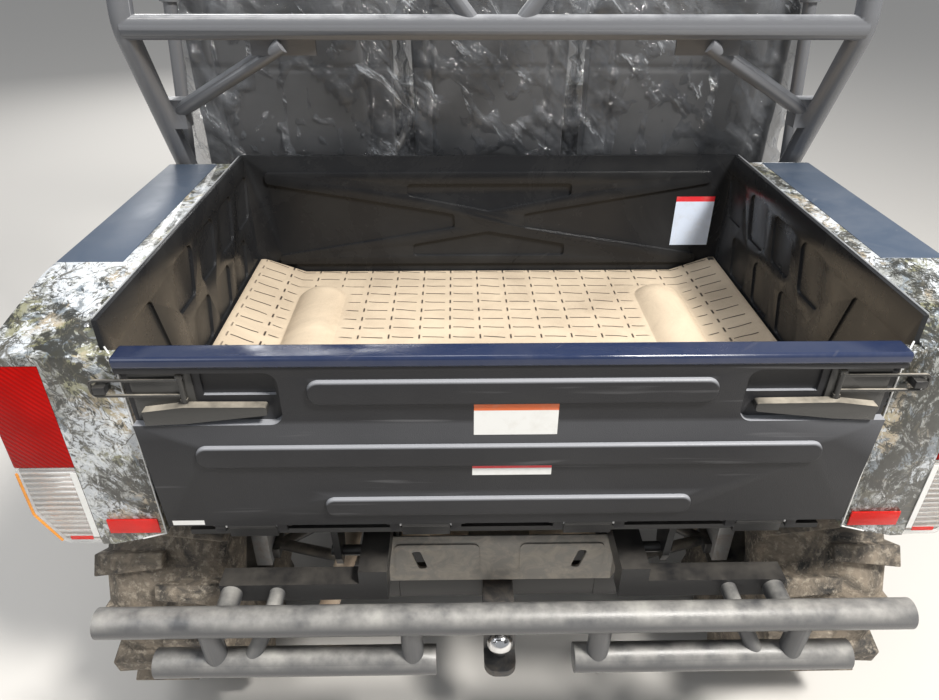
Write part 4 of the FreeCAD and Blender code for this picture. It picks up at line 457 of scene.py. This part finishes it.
# maker, name, and what the maker takes after the name
for maker, name, *values in (
    # cap_satin: its blue tint is a painted reflection of the sky
    (glossy_paint, "cap_satin", (0.05, 0.07, 0.105), (0.3, 0.3, 0.3), 0.15, 0.42, 9, 0.5),
    (grained_plastic, "black_plastic", (0.028, 0.028, 0.029), DUST, 0.25),
    # trim_gloss: its blue tint is a painted reflection of the sky
    (glossy_paint, "trim_gloss", (0.012, 0.021, 0.058), GREY_DUST, 0.08, 0.12),
    (glossy_paint, "bed_paint", (0.013, 0.0135, 0.015), (0.13, 0.13, 0.125), 0.1, 0.24, 5, 0.25),
    (coated_tube, "rim", (0.04, 0.04, 0.042), DUST, 0.7),
    # cage and bumper: the pale colour on their upward faces is partly dust and partly a painted highlight along the
    # tubes' tops
    (coated_tube, "cage", (0.13, 0.134, 0.145), (0.5, 0.51, 0.53), 0.6, 0.2, (0.26, 0.48)),
    (coated_tube, "bumper", (0.075, 0.076, 0.08), (0.5, 0.485, 0.45), 0.75, 0.15, (0.28, 0.5)),
    (coated_tube, "frame_paint", (0.018, 0.018, 0.019), DUST, 0.12, 0.2),
    (coated_tube, "latch_steel", (0.035, 0.034, 0.032), (0.5, 0.45, 0.37), 0.95, 0.55, (0.25, 0.6)),
    (coated_tube, "suspension", (0.03, 0.03, 0.031), DUST, 0.8, -0.2),
    (worn_steel, "hitch_steel", (0.07, 0.07, 0.072), (0.26, 0.22, 0.18), 0.5, 0.45, 0.4),
    (worn_steel, "chrome", (0.78, 0.78, 0.79), (0.45, 0.41, 0.36), 0.25, 0.08, 1.0),
    (worn_steel, "zinc", (0.66, 0.66, 0.67), (0.34, 0.31, 0.27), 0.3, 0.28, 1.0),
    (worn_steel, "spring", (0.2, 0.2, 0.205), (0.36, 0.32, 0.26), 0.6, 0.35, 0.5),
    (worn_steel, "exhaust", (0.62, 0.5, 0.38), (0.4, 0.27, 0.18), 0.55, 0.45, 0.35),
    (worn_steel, "shield", (0.2, 0.19, 0.175), (0.42, 0.38, 0.32), 0.7, 0.45, 0.35),
    (worn_steel, "cast", (0.36, 0.36, 0.365), (0.3, 0.25, 0.2), 0.6, 0.5, 0.5),
    (lens, "red_lens", (0.38, 0.004, 0.003), 1.0, 60, 0.0005, 0.2, "DIAGONAL"),
    (lens, "clear_lens", (0.85, 0.86, 0.86), 0.3, 26, 0.0012, 0.05),
    (lens, "amber_lens", (0.86, 0.34, 0.05), 0.9, 60, 0.0005),
    (lens, "headlamp_lens", (0.85, 0.88, 0.9), 0.22, 16, 0.0008, 0.04, "X"),
    (lens, "reflector", (0.82, 0.012, 0.006), 0.8, 345, 0.0006, 0.18, "DIAGONAL"),
    (plain_print, "label_white", (0.68, 0.68, 0.665)),
    (plain_print, "label_orange", (0.66, 0.13, 0.03)),
    (plain_print, "label_red", (0.66, 0.03, 0.04)),
    (plain_print, "label_blue", (0.6, 0.68, 0.82)),
    (plain_print, "edge_paint", (0.3, 0.31, 0.32), 0.3),
    (plain_print, "dial", (0.03, 0.035, 0.04), 0.12),
):
    FINISHES[name] = maker(name, *values)
# finish and the nodes that have it
NODE_FINISH = {node: finish for finish, nodes in {
    "mat": "bed_mat", "bed_paint": "bed_tub",
    "frame_paint": "bed_frame tailgate_hinges latch_pegs chassis_frame cross_members rear_subframe front_subframe",
    "camouflage": "bed_sides rear_quarters front_fenders front_fascia hood_lid", "cap_satin": "rail_caps",
    "red_lens": "tail_lamps_red", "clear_lens": "tail_lamps_clear", "reflector": "rear_reflectors",
    "gate_plastic": "tailgate_panel", "trim_gloss": "tailgate_cap", "latch_steel": "latches",
    "cage": "roll_cage cage_braces", "bumper": "rear_bumper front_bumper", "hitch_steel": "hitch",
    "cast": "engine_block radiator rear_knuckles final_drive knuckle_left knuckle_right", "exhaust": "exhaust",
    "shield": "muffler_shield",
    "black_plastic": "floor_tray side_sills seat_base grille hood_bin dash_panel steering_wheel",
    "upholstery": "seat_cushions seat_backs", "headlamp_lens": "headlamps",
    "suspension": "suspension_arms dampers steering_rack steering_column tie_rod_left tie_rod_right",
}.items() for node in nodes.split()}
WHEELS = tuple(f"{axle}_{hand}" for axle in ("front", "rear") for hand in ("left", "right"))
NODE_FINISH.update({f"{part}_{wheel}": part for wheel in WHEELS for part in ("tyre", "rim")})


# making and placing pieces

def settle(piece, node, finish=None):
    """Give a finished piece its material, and the body of the node that it belongs to."""
    if finish:
        piece.data.materials.clear()
        piece.data.materials.append(FINISHES[finish])
    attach(piece, BODY_OF[node])
    return piece


def baked(piece):
    """The piece with its modifiers applied."""
    shown = piece.evaluated_get(bpy.context.evaluated_depsgraph_get())
    mesh = bpy.data.meshes.new_from_object(shown)
    piece.modifiers.clear()
    piece.data = mesh
    return piece


def smooth_by_angle(mesh, degrees=35):
    """Shade a mesh smooth, with its sharper edges kept crisp."""
    mesh.shade_smooth()
    mesh.set_sharp_from_angle(angle=math.radians(degrees))


def mesh_from(work, name):
    """A new mesh from a working copy, which is freed."""
    mesh = bpy.data.meshes.new(name)
    work.to_mesh(mesh)
    work.free()
    return mesh


def merged(node):
    """A copy of a node's mesh with its loose triangles joined and its flat faces merged."""
    work = bmesh.new()
    work.from_mesh(frame["nodes"][node].data)
    bmesh.ops.remove_doubles(work, verts=work.verts, dist=0.00002)
    bmesh.ops.dissolve_limit(work, angle_limit=math.radians(0.6), verts=work.verts, edges=work.edges)
    return work


# the tailgate's ribs in mm: half width, low and high of each; the depth of the plain face; the radius
RIBS = ((292, 935, 976), (470, 820, 860), (288, 720, 756))
GATE_FACE = -1364
RIB_ROUND = 4.5
RIB_MARGIN, RIB_LEAST_ANGLE = 6, math.radians(30)


def rounded_ribs(work):
    """Round the outer edges of the tailgate's three moulded ribs, wider than its other edges."""
    chosen = []
    for edge in work.edges:
        middle = (edge.verts[0].co + edge.verts[1].co) / 2 / MM
        proud = middle.y < GATE_FACE - 4
        for half, low, high in RIBS:
            inside = abs(middle.x) < half + RIB_MARGIN and low - RIB_MARGIN < middle.z < high + RIB_MARGIN
            if proud and inside and edge.is_manifold and edge.is_convex and edge.calc_face_angle(0) > RIB_LEAST_ANGLE:
                chosen.append(edge)
    bmesh.ops.bevel(work, geom=chosen, offset=RIB_ROUND * MM, segments=4, profile=0.5, affect="EDGES",
                    clamp_overlap=False)


def refined(node, edge, prepare=None):
    """A node's own form with its facets merged, its edges rounded by a radius in mm, and smooth shading."""
    work = merged(node)
    if prepare:
        prepare(work)
    piece = shown(node + "_finished", mesh_from(work, node + "_finished"))
    if edge:
        bevel = piece.modifiers.new("edges", "BEVEL")
        bevel.width = edge * MM
        bevel.segments = 2
        bevel.limit_method = "ANGLE"
        bevel.angle_limit = math.radians(35)
        bevel.harden_normals = False
        baked(piece)
    smooth_by_angle(piece.data, 40)
    settle(piece, node, NODE_FINISH[node])
    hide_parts(node)


for node, finish in NODE_FINISH.items():
    mesh = frame["nodes"][node].data
    mesh.materials.clear()
    mesh.materials.append(FINISHES[finish])

# edge radius in mm for each node whose own form is finished
EDGES = {
    "bed_sides": 5, "rail_caps": 1, "tailgate_panel": 1.5, "tailgate_cap": 3, "bed_tub": 2, "rear_quarters": 6,
    "front_fenders": 8, "front_fascia": 6, "hood_lid": 5, "dash_panel": 8, "roll_cage": 0, "rear_bumper": 1,
    "front_bumper": 1, "hitch": 1, "exhaust": 1, "muffler_shield": 0.6, "steering_wheel": 0, "latches": 1.2,
    "latch_pegs": 0.8, "tailgate_hinges": 0.8, "tail_lamps_red": 3, "tail_lamps_clear": 3, "rear_reflectors": 1,
    "headlamps": 3, "grille": 1, "side_sills": 4, "floor_tray": 1.5, "seat_base": 4, "engine_block": 5,
    "dampers": 0.6, "suspension_arms": 0.8, "final_drive": 4, "bed_mat": 2, "hood_bin": 1.5, "rear_knuckles": 2,
    "knuckle_left": 2, "knuckle_right": 2, "chassis_frame": 1.5, "cross_members": 1.5, "cage_braces": 1,
}


class Forms:
    """Closed forms gathered into one piece, each with its own finish; places are in mm."""

    def __init__(self):
        self.points, self.faces, self.kinds, self.finishes = [], [], [], []

    def add(self, form, finish):
        points, faces = form
        if finish not in self.finishes:
            self.finishes.append(finish)
        start = len(self.points)
        self.points += [Vector(point) * MM for point in points]
        self.faces += [[start + index for index in face] for face in faces]
        self.kinds += [self.finishes.index(finish)] * len(faces)
        return self

    def piece(self, name, node):
        mesh = bpy.data.meshes.new(name)
        mesh.from_pydata(self.points, [], self.faces)
        for finish in self.finishes:
            mesh.materials.append(FINISHES[finish])
        mesh.polygons.foreach_set("material_index", self.kinds)
        work = bmesh.new()
        work.from_mesh(mesh)
        bmesh.ops.recalc_face_normals(work, faces=work.faces)
        work.to_mesh(mesh)
        work.free()
        smooth_by_angle(mesh)
        return settle(shown(name, mesh), node)


def rounded(low, high, radius):
    """A block with rounded edges."""
    work = bmesh.new()
    bmesh.ops.create_cube(work, size=1)
    for corner in work.verts:
        corner.co = [(low[i] + high[i]) / 2 + corner.co[i] * (high[i] - low[i]) for i in range(3)]
    bmesh.ops.bevel(work, geom=list(work.edges), offset=radius, segments=2, profile=0.5, affect="EDGES")
    work.verts.index_update()
    form = ([vert.co.copy() for vert in work.verts], [[vert.index for vert in face.verts] for face in work.faces])
    work.free()
    return form


def turned(profile, place, axis, sides):
    """A form turned about an axis from (radius, height) pairs; a radius of 0 closes it in a point."""
    turn = Vector(axis).to_track_quat("Z", "Y").to_matrix()
    points, rings, faces = [], [], []
    for radius, height in profile:
        count = sides if radius > 0.001 else 1
        rings.append([len(points) + i for i in range(count)])
        for i in range(count):
            angle = math.tau * i / sides
            points.append(Vector(place) + turn @ Vector((radius * math.cos(angle), radius * math.sin(angle), height)))
    for lower, upper in zip(rings, rings[1:]):
        for i in range(sides):
            corners = [lower[i % len(lower)], lower[(i + 1) % sides % len(lower)],
                       upper[(i + 1) % sides % len(upper)], upper[i % len(upper)]]
            face = [corner for k, corner in enumerate(corners) if corner not in corners[:k]]
            if len(face) > 2:
                faces.append(face)
    for ring in (rings[0], rings[-1]):
        if len(ring) > 2:
            faces.append(list(ring))
    return points, faces


def swept(path, radius, sides):
    """A round bar along a path."""
    path = [Vector(point) for point in path]
    points, faces, side = [], [], None
    count = len(path)
    for i, spot in enumerate(path):
        way = (path[min(i + 1, count - 1)] - path[max(i - 1, 0)]).normalized()
        side = side or way.orthogonal()
        side = (side - way * side.dot(way)).normalized()
        other = way.cross(side)
        for k in range(sides):
            angle = math.tau * k / sides
            points.append(spot + (side * math.cos(angle) + other * math.sin(angle)) * radius)
    for here in range(0, (count - 1) * sides, sides):
        there = here + sides
        for k in range(sides):
            faces.append([here + k, here + (k + 1) % sides, there + (k + 1) % sides, there + k])
    faces += [list(range(sides)), list(range((count - 1) * sides, count * sides))]
    return points, faces


SURFACES = {}


def surface_of(node):
    """A node's surface for casting rays, in mm."""
    if node not in SURFACES:
        mesh = frame["nodes"][node].data
        SURFACES[node] = BVHTree.FromPolygons([vert.co / MM for vert in mesh.vertices],
                                              [tuple(face.vertices) for face in mesh.polygons])
    return SURFACES[node]


def touching(node, place, way):
    """Where a ray meets a node's surface, and how the surface faces there."""
    spot, normal, _, _ = surface_of(node).ray_cast(Vector(place), Vector(way).normalized())
    if spot is None:
        raise SystemExit(f"no surface of {node} at {tuple(place)}")
    return spot, normal


FORWARD = (0, 1, 0)
# y in mm behind the whole vehicle, from which rays are cast forward
BEHIND = -1500


def bolt(forms, node, place, way, size):
    """A flanged hexagon bolt head with a domed top, set on a node's surface."""
    spot, normal = touching(node, place, way)
    flange = [(0, -1), (size * 1.25, -1), (size * 1.25, 0.6), (size * 1.05, 1.4), (0, 1.4)]
    head = [(0, 1), (size * 0.9, 1), (size * 0.92, size * 0.55), (size * 0.7, size * 0.72), (0, size * 0.78)]
    forms.add(turned(flange, spot, normal, 20), "zinc")
    forms.add(turned(head, spot, normal, 6), "zinc")


def skin(forms, node, rows, depth, finish, lift=0.5):
    """A thin closed layer on a node's surface, from rows of (x, z) that are cast forward from a depth."""
    fronts = [[touching(node, (x, depth, z), FORWARD) for x, z in row] for row in rows]
    count, width = len(rows), len(rows[0])
    points = [spot + normal * height for height in (lift, -0.5) for row in fronts for spot, normal in row]
    under = count * width

    def at(row, column):
        return row * width + column

    faces = []
    for row in range(count - 1):
        for column in range(width - 1):
            quad = [at(row, column), at(row, column + 1), at(row + 1, column + 1), at(row + 1, column)]
            faces += [quad, [under + corner for corner in reversed(quad)]]
    rim = [at(0, column) for column in range(width)]
    rim += [at(row, width - 1) for row in range(1, count)]
    rim += [at(count - 1, column) for column in range(width - 2, -1, -1)]
    rim += [at(row, 0) for row in range(count - 2, 0, -1)]
    for here, there in zip(rim, rim[1:] + rim[:1]):
        faces.append([here, there, under + there, under + here])
    forms.add((points, faces), finish)


def sticker(forms, node, across, up, bands, depth):
    """A blank sticker on a node: bands are (share of the height, finish) from the top down."""
    top, height, width = up[1], up[1] - up[0], across[1] - across[0]
    for share, finish in bands:
        low = top - height * share
        rows = [[(across[0] + width * i / 8, z) for i in range(9)] for z in (low, top)]
        skin(forms, node, rows, depth, finish)
        top = low


def edge_of(node, hand, z, reach):
    """Where a node begins across the vehicle at a height, seen from behind and looked for over a reach in mm."""
    way = 0.5 if reach[1] > reach[0] else -0.5
    for count in range(int((reach[1] - reach[0]) / way)):
        across = reach[0] + count * way
        if surface_of(node).ray_cast(Vector((hand * across, BEHIND, z)), Vector(FORWARD), 400)[0] is not None:
            return across
    return None


def inner(node, name, inset, finish):
    """A smaller copy of a node's form inside it, as a lamp's reflector behind its lens."""
    work = merged(node)
    work.normal_update()
    bmesh.ops.triangulate(work, faces=work.faces)
    for vert in work.verts:
        vert.co -= vert.normal * inset * MM
    mesh = mesh_from(work, name)
    smooth_by_angle(mesh, 40)
    settle(shown(name, mesh), node, finish)


# soft pieces

def islands(work):
    """The separate closed shells of a mesh, as lists of vertices."""
    left, shells = set(work.verts), []
    while left:
        front, shell = [left.pop()], []
        while front:
            vert = front.pop()
            shell.append(vert)
            for edge in vert.link_edges:
                other = edge.other_vert(vert)
                if other in left:
                    left.remove(other)
                    front.append(other)
        shells.append(shell)
    return shells


def shells_of(node):
    """A node's closed shells as meshes, from its left side to its right."""
    work = merged(node)
    groups = sorted(islands(work), key=lambda shell: sum(vert.co.x for vert in shell) / len(shell))
    meshes = []
    for shell in groups:
        part = work.copy()
        names = {vert.index for vert in shell}
        part.verts.index_update()
        bmesh.ops.delete(part, geom=[vert for vert in part.verts if vert.index not in names], context="VERTS")
        meshes.append(mesh_from(part, node))
    work.free()
    return meshes


def remeshed(name, mesh, voxel):
    """A shell as an even skin of small quads."""
    piece = shown(name, mesh)
    skin = piece.modifiers.new("skin", "REMESH")
    skin.mode = "VOXEL"
    skin.voxel_size = voxel * MM
    return baked(piece)


def softened(piece, steps):
    """Relax a skin, which rounds its corners."""
    work = bmesh.new()
    work.from_mesh(piece.data)
    for _ in range(steps):
        bmesh.ops.smooth_vert(work, verts=work.verts, factor=0.5, use_axis_x=True, use_axis_y=True, use_axis_z=True)
    work.to_mesh(piece.data)
    work.free()


def pushed(piece, distance):
    """Move each point of a skin along its normal by a distance in mm that a function gives."""
    mesh = piece.data
    normals = [normal.vector.copy() for normal in mesh.vertex_normals]
    for vert, normal in zip(mesh.vertices, normals):
        vert.co += normal * distance(vert.co / MM, normal) * MM


SWELL_FRAMES = 20


def swollen(piece, cap):
    """Fill a slack skin with air pressure by cloth simulation, moving no point further than a cap in mm."""
    before = [vert.co.copy() for vert in piece.data.vertices]
    cloth = piece.modifiers.new("cloth", "CLOTH")
    cloth.settings.quality = 4
    cloth.settings.mass = 0.3
    cloth.settings.use_pressure = True
    cloth.settings.uniform_pressure_force = 4
    cloth.settings.effector_weights.gravity = 0
    cloth.point_cache.frame_start = 1
    cloth.point_cache.frame_end = SWELL_FRAMES
    for step in range(1, SWELL_FRAMES + 1):
        bpy.context.scene.frame_set(step)
    baked(piece)
    bpy.context.scene.frame_set(1)
    for vert, start in zip(piece.data.vertices, before):
        moved = vert.co - start
        if moved.length > cap * MM:
            vert.co = start + moved.normalized() * cap * MM


def valley(distance, width, depth):
    """How far a sewn line pulls a surface in, at a distance from it."""
    return -depth * math.exp(-(distance / width) ** 2)


def arch_distance(x, z, half, low, high):
    """Distance from an arched outline: straight sides and a half-round head."""
    spring = high - half
    if z < spring:
        sides = abs(abs(x) - half)
        return math.hypot(sides, low - z) if z < low else sides
    return abs(math.hypot(x, z - spring) - half)


HANDS = ("left", "middle", "right")
# pads in mm: voxel, how far the skin starts inside the solid, furthest swelling
PAD_VOXEL, PAD_INSET, PAD_SWELL = 13, 8, 14
# heights of the seat backs' sewn lines, in mm: on both faces, on the front, and the arched panel's foot and head behind
BACK_SEAM, FRONT_SEAM, ARCH_LOW, ARCH_HIGH = 1235, 900, 640, 1030
# y of the cushions' two sewn channels, in mm
CHANNELS = (-30, -170)


def crown(x, half, height):
    """A pad's rise toward its middle."""
    return height * math.cos(min(1, abs(x) / half) * math.pi / 2)


def back_seams(spot, normal, x, half):
    """A seat back's relief: a crown, sewn lines on both faces, and an arched panel sewn on the rear."""
    if abs(normal.y) < 0.4:
        return 0
    depth = valley(abs(x) - half * 0.72, 5, 5) + valley(spot.z - BACK_SEAM, 5, 4)
    if normal.y < 0:
        depth += valley(arch_distance(x, spot.z, half * 0.5, ARCH_LOW, ARCH_HIGH), 5, 5)
    else:
        depth += valley(spot.z - FRONT_SEAM, 6, 6) + valley(abs(x) - half * 0.4, 6, 5)
    return depth + crown(x, half, 5)


def cushion_seams(spot, normal, x, half):
    """A cushion's relief on its top: a crown, two channels across and a line along each side."""
    if normal.z < 0.4:
        return 0
    depth = valley(spot.y - CHANNELS[0], 6, 6) + valley(spot.y - CHANNELS[1], 6, 6) + valley(abs(x) - half * 0.62, 5, 5)
    return depth + crown(x, half, 6)


def make_pads(node, seams):
    """A padded piece for each of a node's three shells: remeshed, swollen, then sewn by a relief."""
    for place, mesh in zip(HANDS, shells_of(node)):
        piece = remeshed(f"{node}_{place}_pad", mesh, PAD_VOXEL)
        pushed(piece, lambda spot, normal: -PAD_INSET)
        softened(piece, 3)
        swollen(piece, PAD_SWELL)
        smoothing = piece.modifiers.new("finish", "SUBSURF")
        smoothing.levels = smoothing.render_levels = 1
        baked(piece)
        middle = sum(vert.co.x for vert in piece.data.vertices) / len(piece.data.vertices) / MM
        half = max(vert.co.x for vert in piece.data.vertices) / MM - middle
        pushed(piece, lambda spot, normal: seams(spot, normal, spot.x - middle, half))
        smooth_by_angle(piece.data, 60)
        settle(piece, node, "upholstery")
        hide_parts(node)


# the film bags in mm: voxel, and the height of the rim that is cut away below
FILM_VOXEL, FILM_OPENING = 11, 22


def make_film():
    """Clear film bags drawn over the three seat backs, wrinkled and open below."""
    for index, mesh in enumerate(shells_of("seat_backs")):
        piece = remeshed(f"seat_backs_{HANDS[index]}_film", mesh, FILM_VOXEL)
        softened(piece, 6)

        def wrinkle(spot, normal):
            """Distance from the pad: broad ridges, long leaning creases and a fine crumple."""
            seed = Vector((spot.x * 0.006 + 7 * index, spot.y * 0.006, spot.z * 0.0035))
            lean = Vector(((spot.x + spot.z * 0.45) * 0.011, spot.y * 0.01, (spot.z - spot.x * 0.3) * 0.0045))
            ridge = 1 - abs(field.noise(seed * 1.7))
            crease = 1 - abs(field.noise(lean * 2.1 + Vector((3.1 * index, 0, 5))))
            return 2 + 13 * ridge ** 7 + 16 * crease ** 10 + 3 * field.noise(seed * 9)

        pushed(piece, wrinkle)
        work = bmesh.new()
        work.from_mesh(piece.data)
        low = min(vert.co.z for vert in work.verts)
        foot = [face for face in work.faces if face.calc_center_median().z < low + FILM_OPENING * MM]
        bmesh.ops.delete(work, geom=foot, context="FACES")
        area = sum(face.calc_area() for face in work.faces)
        work.to_mesh(piece.data)
        work.free()
        piece.data.shade_smooth()
        settle(piece, "seat_backs", "film")


# small pieces

# node, piece, y that rays start from, stickers as across, up and bands of (share of the height, finish), in mm
STICKERS = (
    ("tailgate_panel", "tailgate_panel_stickers", BEHIND, (
        ((-56, 67), (877, 932), ((0.2, "label_orange"), (0.8, "label_white"))),
        ((-58, 63), (799, 818), ((0.3, "label_red"), (0.7, "label_white"))),
        ((-534, -484), (700, 709), ((1.0, "label_white"),)))),
    ("bed_tub", "bed_tub_sticker", -800, (
        ((458, 552), (823, 949), ((0.1, "label_red"), (0.9, "label_blue"))),)),
)


def make_labels():
    """Blank stickers: two on the tailgate, a strip in its corner and one on the bed's front wall."""
    for node, name, depth, stickers in STICKERS:
        forms = Forms()
        for across, up, bands in stickers:
            sticker(forms, node, across, up, bands, depth)
        forms.piece(name, node)


# the hinges' bolts in mm: inset from a plate's ends, heights searched, greatest y of the plate's face, size
HINGE_INSET, HINGE_HEIGHTS, HINGE_FACE, HINGE_BOLT = 20, range(662, 690, 2), -1352, 5
# the wheel nuts in mm: how many, radius of their circle, x outside the wheels, size
NUTS, NUT_CIRCLE, OUTSIDE, NUT_SIZE = 4, 55, 1200, 9


def make_bolts():
    """Two bolts on each tailgate hinge and four on each wheel."""
    hinge = Forms()
    work = merged("tailgate_hinges")
    for shell in islands(work):
        spots = [vert.co / MM for vert in shell]
        left, right = min(spot.x for spot in spots), max(spot.x for spot in spots)
        if right - left < 60:
            continue
        for x in (left + HINGE_INSET, right - HINGE_INSET):
            for z in HINGE_HEIGHTS:
                spot, normal, _, _ = surface_of("tailgate_hinges").ray_cast(Vector((x, BEHIND, z)), Vector(FORWARD))
                if spot is not None and normal.y < -0.95 and spot.y < HINGE_FACE:
                    bolt(hinge, "tailgate_hinges", (x, BEHIND, z + 2), FORWARD, HINGE_BOLT)
                    break
    work.free()
    hinge.piece("tailgate_hinges_bolts", "tailgate_hinges")
    for wheel in WHEELS:
        rim = f"rim_{wheel}"
        low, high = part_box(rim)
        centre = (Vector(low) + Vector(high)) / 2 / MM
        outward = 1 if centre.x > 0 else -1
        nuts = Forms()
        for turn in range(NUTS):
            angle = math.tau * (turn + 0.5) / NUTS
            spot = (outward * OUTSIDE, centre.y + NUT_CIRCLE * math.cos(angle), centre.z + NUT_CIRCLE * math.sin(angle))
            bolt(nuts, rim, spot, (-outward, 0, 0), NUT_SIZE)
        nuts.piece(f"{rim}_nuts", rim)


# x in mm between which the clear tail lamps are looked for
LAMP_REACH = (540, 790)


def make_lamps():
    """Inside the lamps: ribbed reflectors behind clear lenses; round them an amber rim, a pale and a red strip."""
    inner("tail_lamps_clear", "tail_lamps_clear_bowl", 7, "ribbed_mirror")
    inner("headlamps", "headlamps_bowl", 9, "ribbed_mirror")
    trim, lamp = Forms(), "tail_lamps_clear"
    for hand in (-1, 1):
        edges = [(edge_of(lamp, hand, z, LAMP_REACH), z) for z in range(656, 800, 8)]
        edges = [(x, z) for x, z in edges if x]
        strip = [[(hand * (x + wide), z) for wide in (1, 5, 10)] for x, z in edges]
        skin(trim, lamp, strip, BEHIND, "label_white", lift=0.8)
        start, low = edges[0]
        foot = [[(hand * (start + 12 + 12 * i), z) for i in range(4)] for z in (low - 6, low + 1)]
        skin(trim, lamp, foot, BEHIND, "reflector", lift=0.8)
        outer = [(edge_of(lamp, hand, z, LAMP_REACH[::-1]), z) for z in range(648, 798, 6)]
        rim = [touching(lamp, (hand * (x - 0.6), BEHIND, z), FORWARD)[0] for x, z in outer if x]
        trim.add(swept(rim, 2.2, 8), "amber_lens")
    trim.piece("tail_lamps_clear_trim", lamp)


# the tub's lips in mm: x, z and the two ends' y; the three rivets' x and y on the bed sides
LIP_X, LIP_Z, LIP_ENDS = 588.5, 1050.5, (-1326, -540)
RIVET_X, RIVET_YS = 621, (-1240, -1262, -1286)


def make_body_edges():
    """A thin pale bead along the bed sides' edges beside the tailgate with three rivets on top, and the tub walls'
    lips.
    """
    side_edge_forms, lip = Forms(), Forms()
    for hand in (-1, 1):
        path = []
        for z in range(650, 1012, 12):
            x = edge_of("bed_sides", hand, z, (470, 760))
            if x:
                path.append(touching("bed_sides", (hand * (x + 0.6), BEHIND, z), FORWARD)[0])
        side_edge_forms.add(swept(path, 1.4, 6), "label_white")
        lip.add(swept([(hand * LIP_X, y, LIP_Z) for y in LIP_ENDS], 1.5, 6), "edge_paint")
        for y in RIVET_YS:
            spot, normal = touching("bed_sides", (hand * RIVET_X, y, 1200), (0, 0, -1))
            side_edge_forms.add(turned([(0, -1), (4.5, -1), (4.5, 0.8), (3.2, 2.4), (0, 3)], spot, normal, 16), "zinc")
    side_edge_forms.piece("bed_sides_edges", "bed_sides")
    lip.piece("bed_tub_lips", "bed_tub")


# a damper's spring: turns, points in a turn, radius of the wire in mm
COILS, COIL_POINTS, COIL_WIRE = 9, 16, 5


def make_springs():
    """A coil spring round each damper."""
    work = merged("dampers")
    coils = Forms()
    for shell in islands(work):
        spots = [vert.co / MM for vert in shell]
        centre = sum(spots, Vector()) / len(spots)
        if max((spot - centre).length for spot in spots) < 90:
            continue
        ends = sorted(spots, key=lambda spot: spot.z)
        count = max(3, len(ends) // 12)
        low = sum(ends[:count], Vector()) / count
        high = sum(ends[-count:], Vector()) / count
        way = (high - low).normalized()
        radius = max((spot - centre - way * (spot - centre).dot(way)).length for spot in spots)
        side = way.orthogonal().normalized()
        other = way.cross(side)
        reach = (high - low).length
        path = []
        for step in range(COILS * COIL_POINTS + 1):
            share = step / (COILS * COIL_POINTS)
            angle = math.tau * step / COIL_POINTS
            path.append(low + way * reach * (0.22 + 0.62 * share)
                        + (side * math.cos(angle) + other * math.sin(angle)) * (radius + 3))
        coils.add(swept(path, COIL_WIRE, 8), "spring")
    work.free()
    coils.piece("dampers_springs", "dampers")


# the towing ball in mm
BALL_RADIUS, BALL_PLACE = 25.9, (0, -1310, 312)


def make_hitch_ball():
    """The polished towing ball over the hitch's own."""
    angles = [math.pi * i / 20 for i in range(3, 20)]
    profile = [(BALL_RADIUS * math.sin(angle), -BALL_RADIUS * math.cos(angle)) for angle in angles]
    profile = [(0, profile[0][1])] + profile + [(0, BALL_RADIUS)]
    Forms().add(turned(profile, BALL_PLACE, (0, 0, 1), 32), "chrome").piece("hitch_ball", "hitch")


# the cab in mm: places that rays are cast forward from, switches' x, pedals as (x, width)
DIAL_FROM, LEVER_FROM = (-420, 0, 905), (-260, 0, 800)
SWITCHES, SWITCH_Z = (-215, -180, -145, -110), 885
PEDALS = ((-470, 60), (-370, 36))


def make_cab_details():
    """The driver's place: dial, switches, gear lever and pedals, and the bed's latch hook behind it."""
    dash = Forms()
    spot, normal = touching("dash_panel", DIAL_FROM, FORWARD)
    dash.add(turned([(0, -2), (46, -2), (46, 8), (42, 10), (40, 4), (0, 4)], spot, normal, 40), "black_plastic")
    dash.add(turned([(0, 4), (39.5, 4), (39.5, 5), (0, 5)], spot, normal, 40), "dial")
    for x in SWITCHES:
        spot, _ = touching("dash_panel", (x, 0, SWITCH_Z), FORWARD)
        dash.add(rounded((x - 12, spot.y - 7, 868), (x + 12, spot.y + 3, 902), 3), "black_plastic")
        dash.add(rounded((x - 3, spot.y - 8.5, 890), (x + 3, spot.y - 6, 896), 1), "label_white")
    spot, _ = touching("dash_panel", LEVER_FROM, FORWARD)
    rod = [spot + Vector(step) for step in ((0, 4, 0), (0, -50, 30), (0, -62, 90))]
    dash.add(swept(rod, 6, 12), "zinc")
    knob = [(0, -26), (14, -20), (20, 0), (16, 18), (0, 26)]
    dash.add(turned(knob, spot + Vector((0, -62, 104)), (0, 0, 1), 24), "black_plastic")
    dash.piece("dash_panel_controls", "dash_panel")
    pedals = Forms()
    for x, wide in PEDALS:
        foot, _ = touching("floor_tray", (x, 300, 420), FORWARD)
        arm = [foot + Vector(step) for step in ((0, 4, 60), (0, -60, 40), (0, -70, 0))]
        pedals.add(swept(arm, 6, 10), "frame_paint")
        pedals.add(rounded((x - wide / 2, foot.y - 82, 392), (x + wide / 2, foot.y - 68, 452), 5), "black_plastic")
    pedals.piece("floor_tray_pedals", "floor_tray")
    hook = Forms()
    hook.add(rounded((556, -566, 752), (573, -547, 792), 2), "frame_paint")
    hook.add(swept([(560, -562, 786), (556, -576, 788), (552, -580, 778), (556, -574, 768)], 3, 10), "zinc")
    hook.piece("bed_tub_hook", "bed_tub")


def main():
    make_camera()
    make_studio()
    for node, edge in EDGES.items():
        refined(node, edge, prepare=rounded_ribs if node == "tailgate_panel" else None)
    for wheel in WHEELS:
        refined(f"rim_{wheel}", 1.5)
        refined(f"tyre_{wheel}", 3)
    make_pads("seat_backs", back_seams)
    make_pads("seat_cushions", cushion_seams)
    make_film()
    make_labels()
    make_bolts()
    make_lamps()
    make_body_edges()
    make_springs()
    make_hitch_ball()
    make_cab_details()


main()
bpy.context.scene.view_settings.view_transform = "Standard"
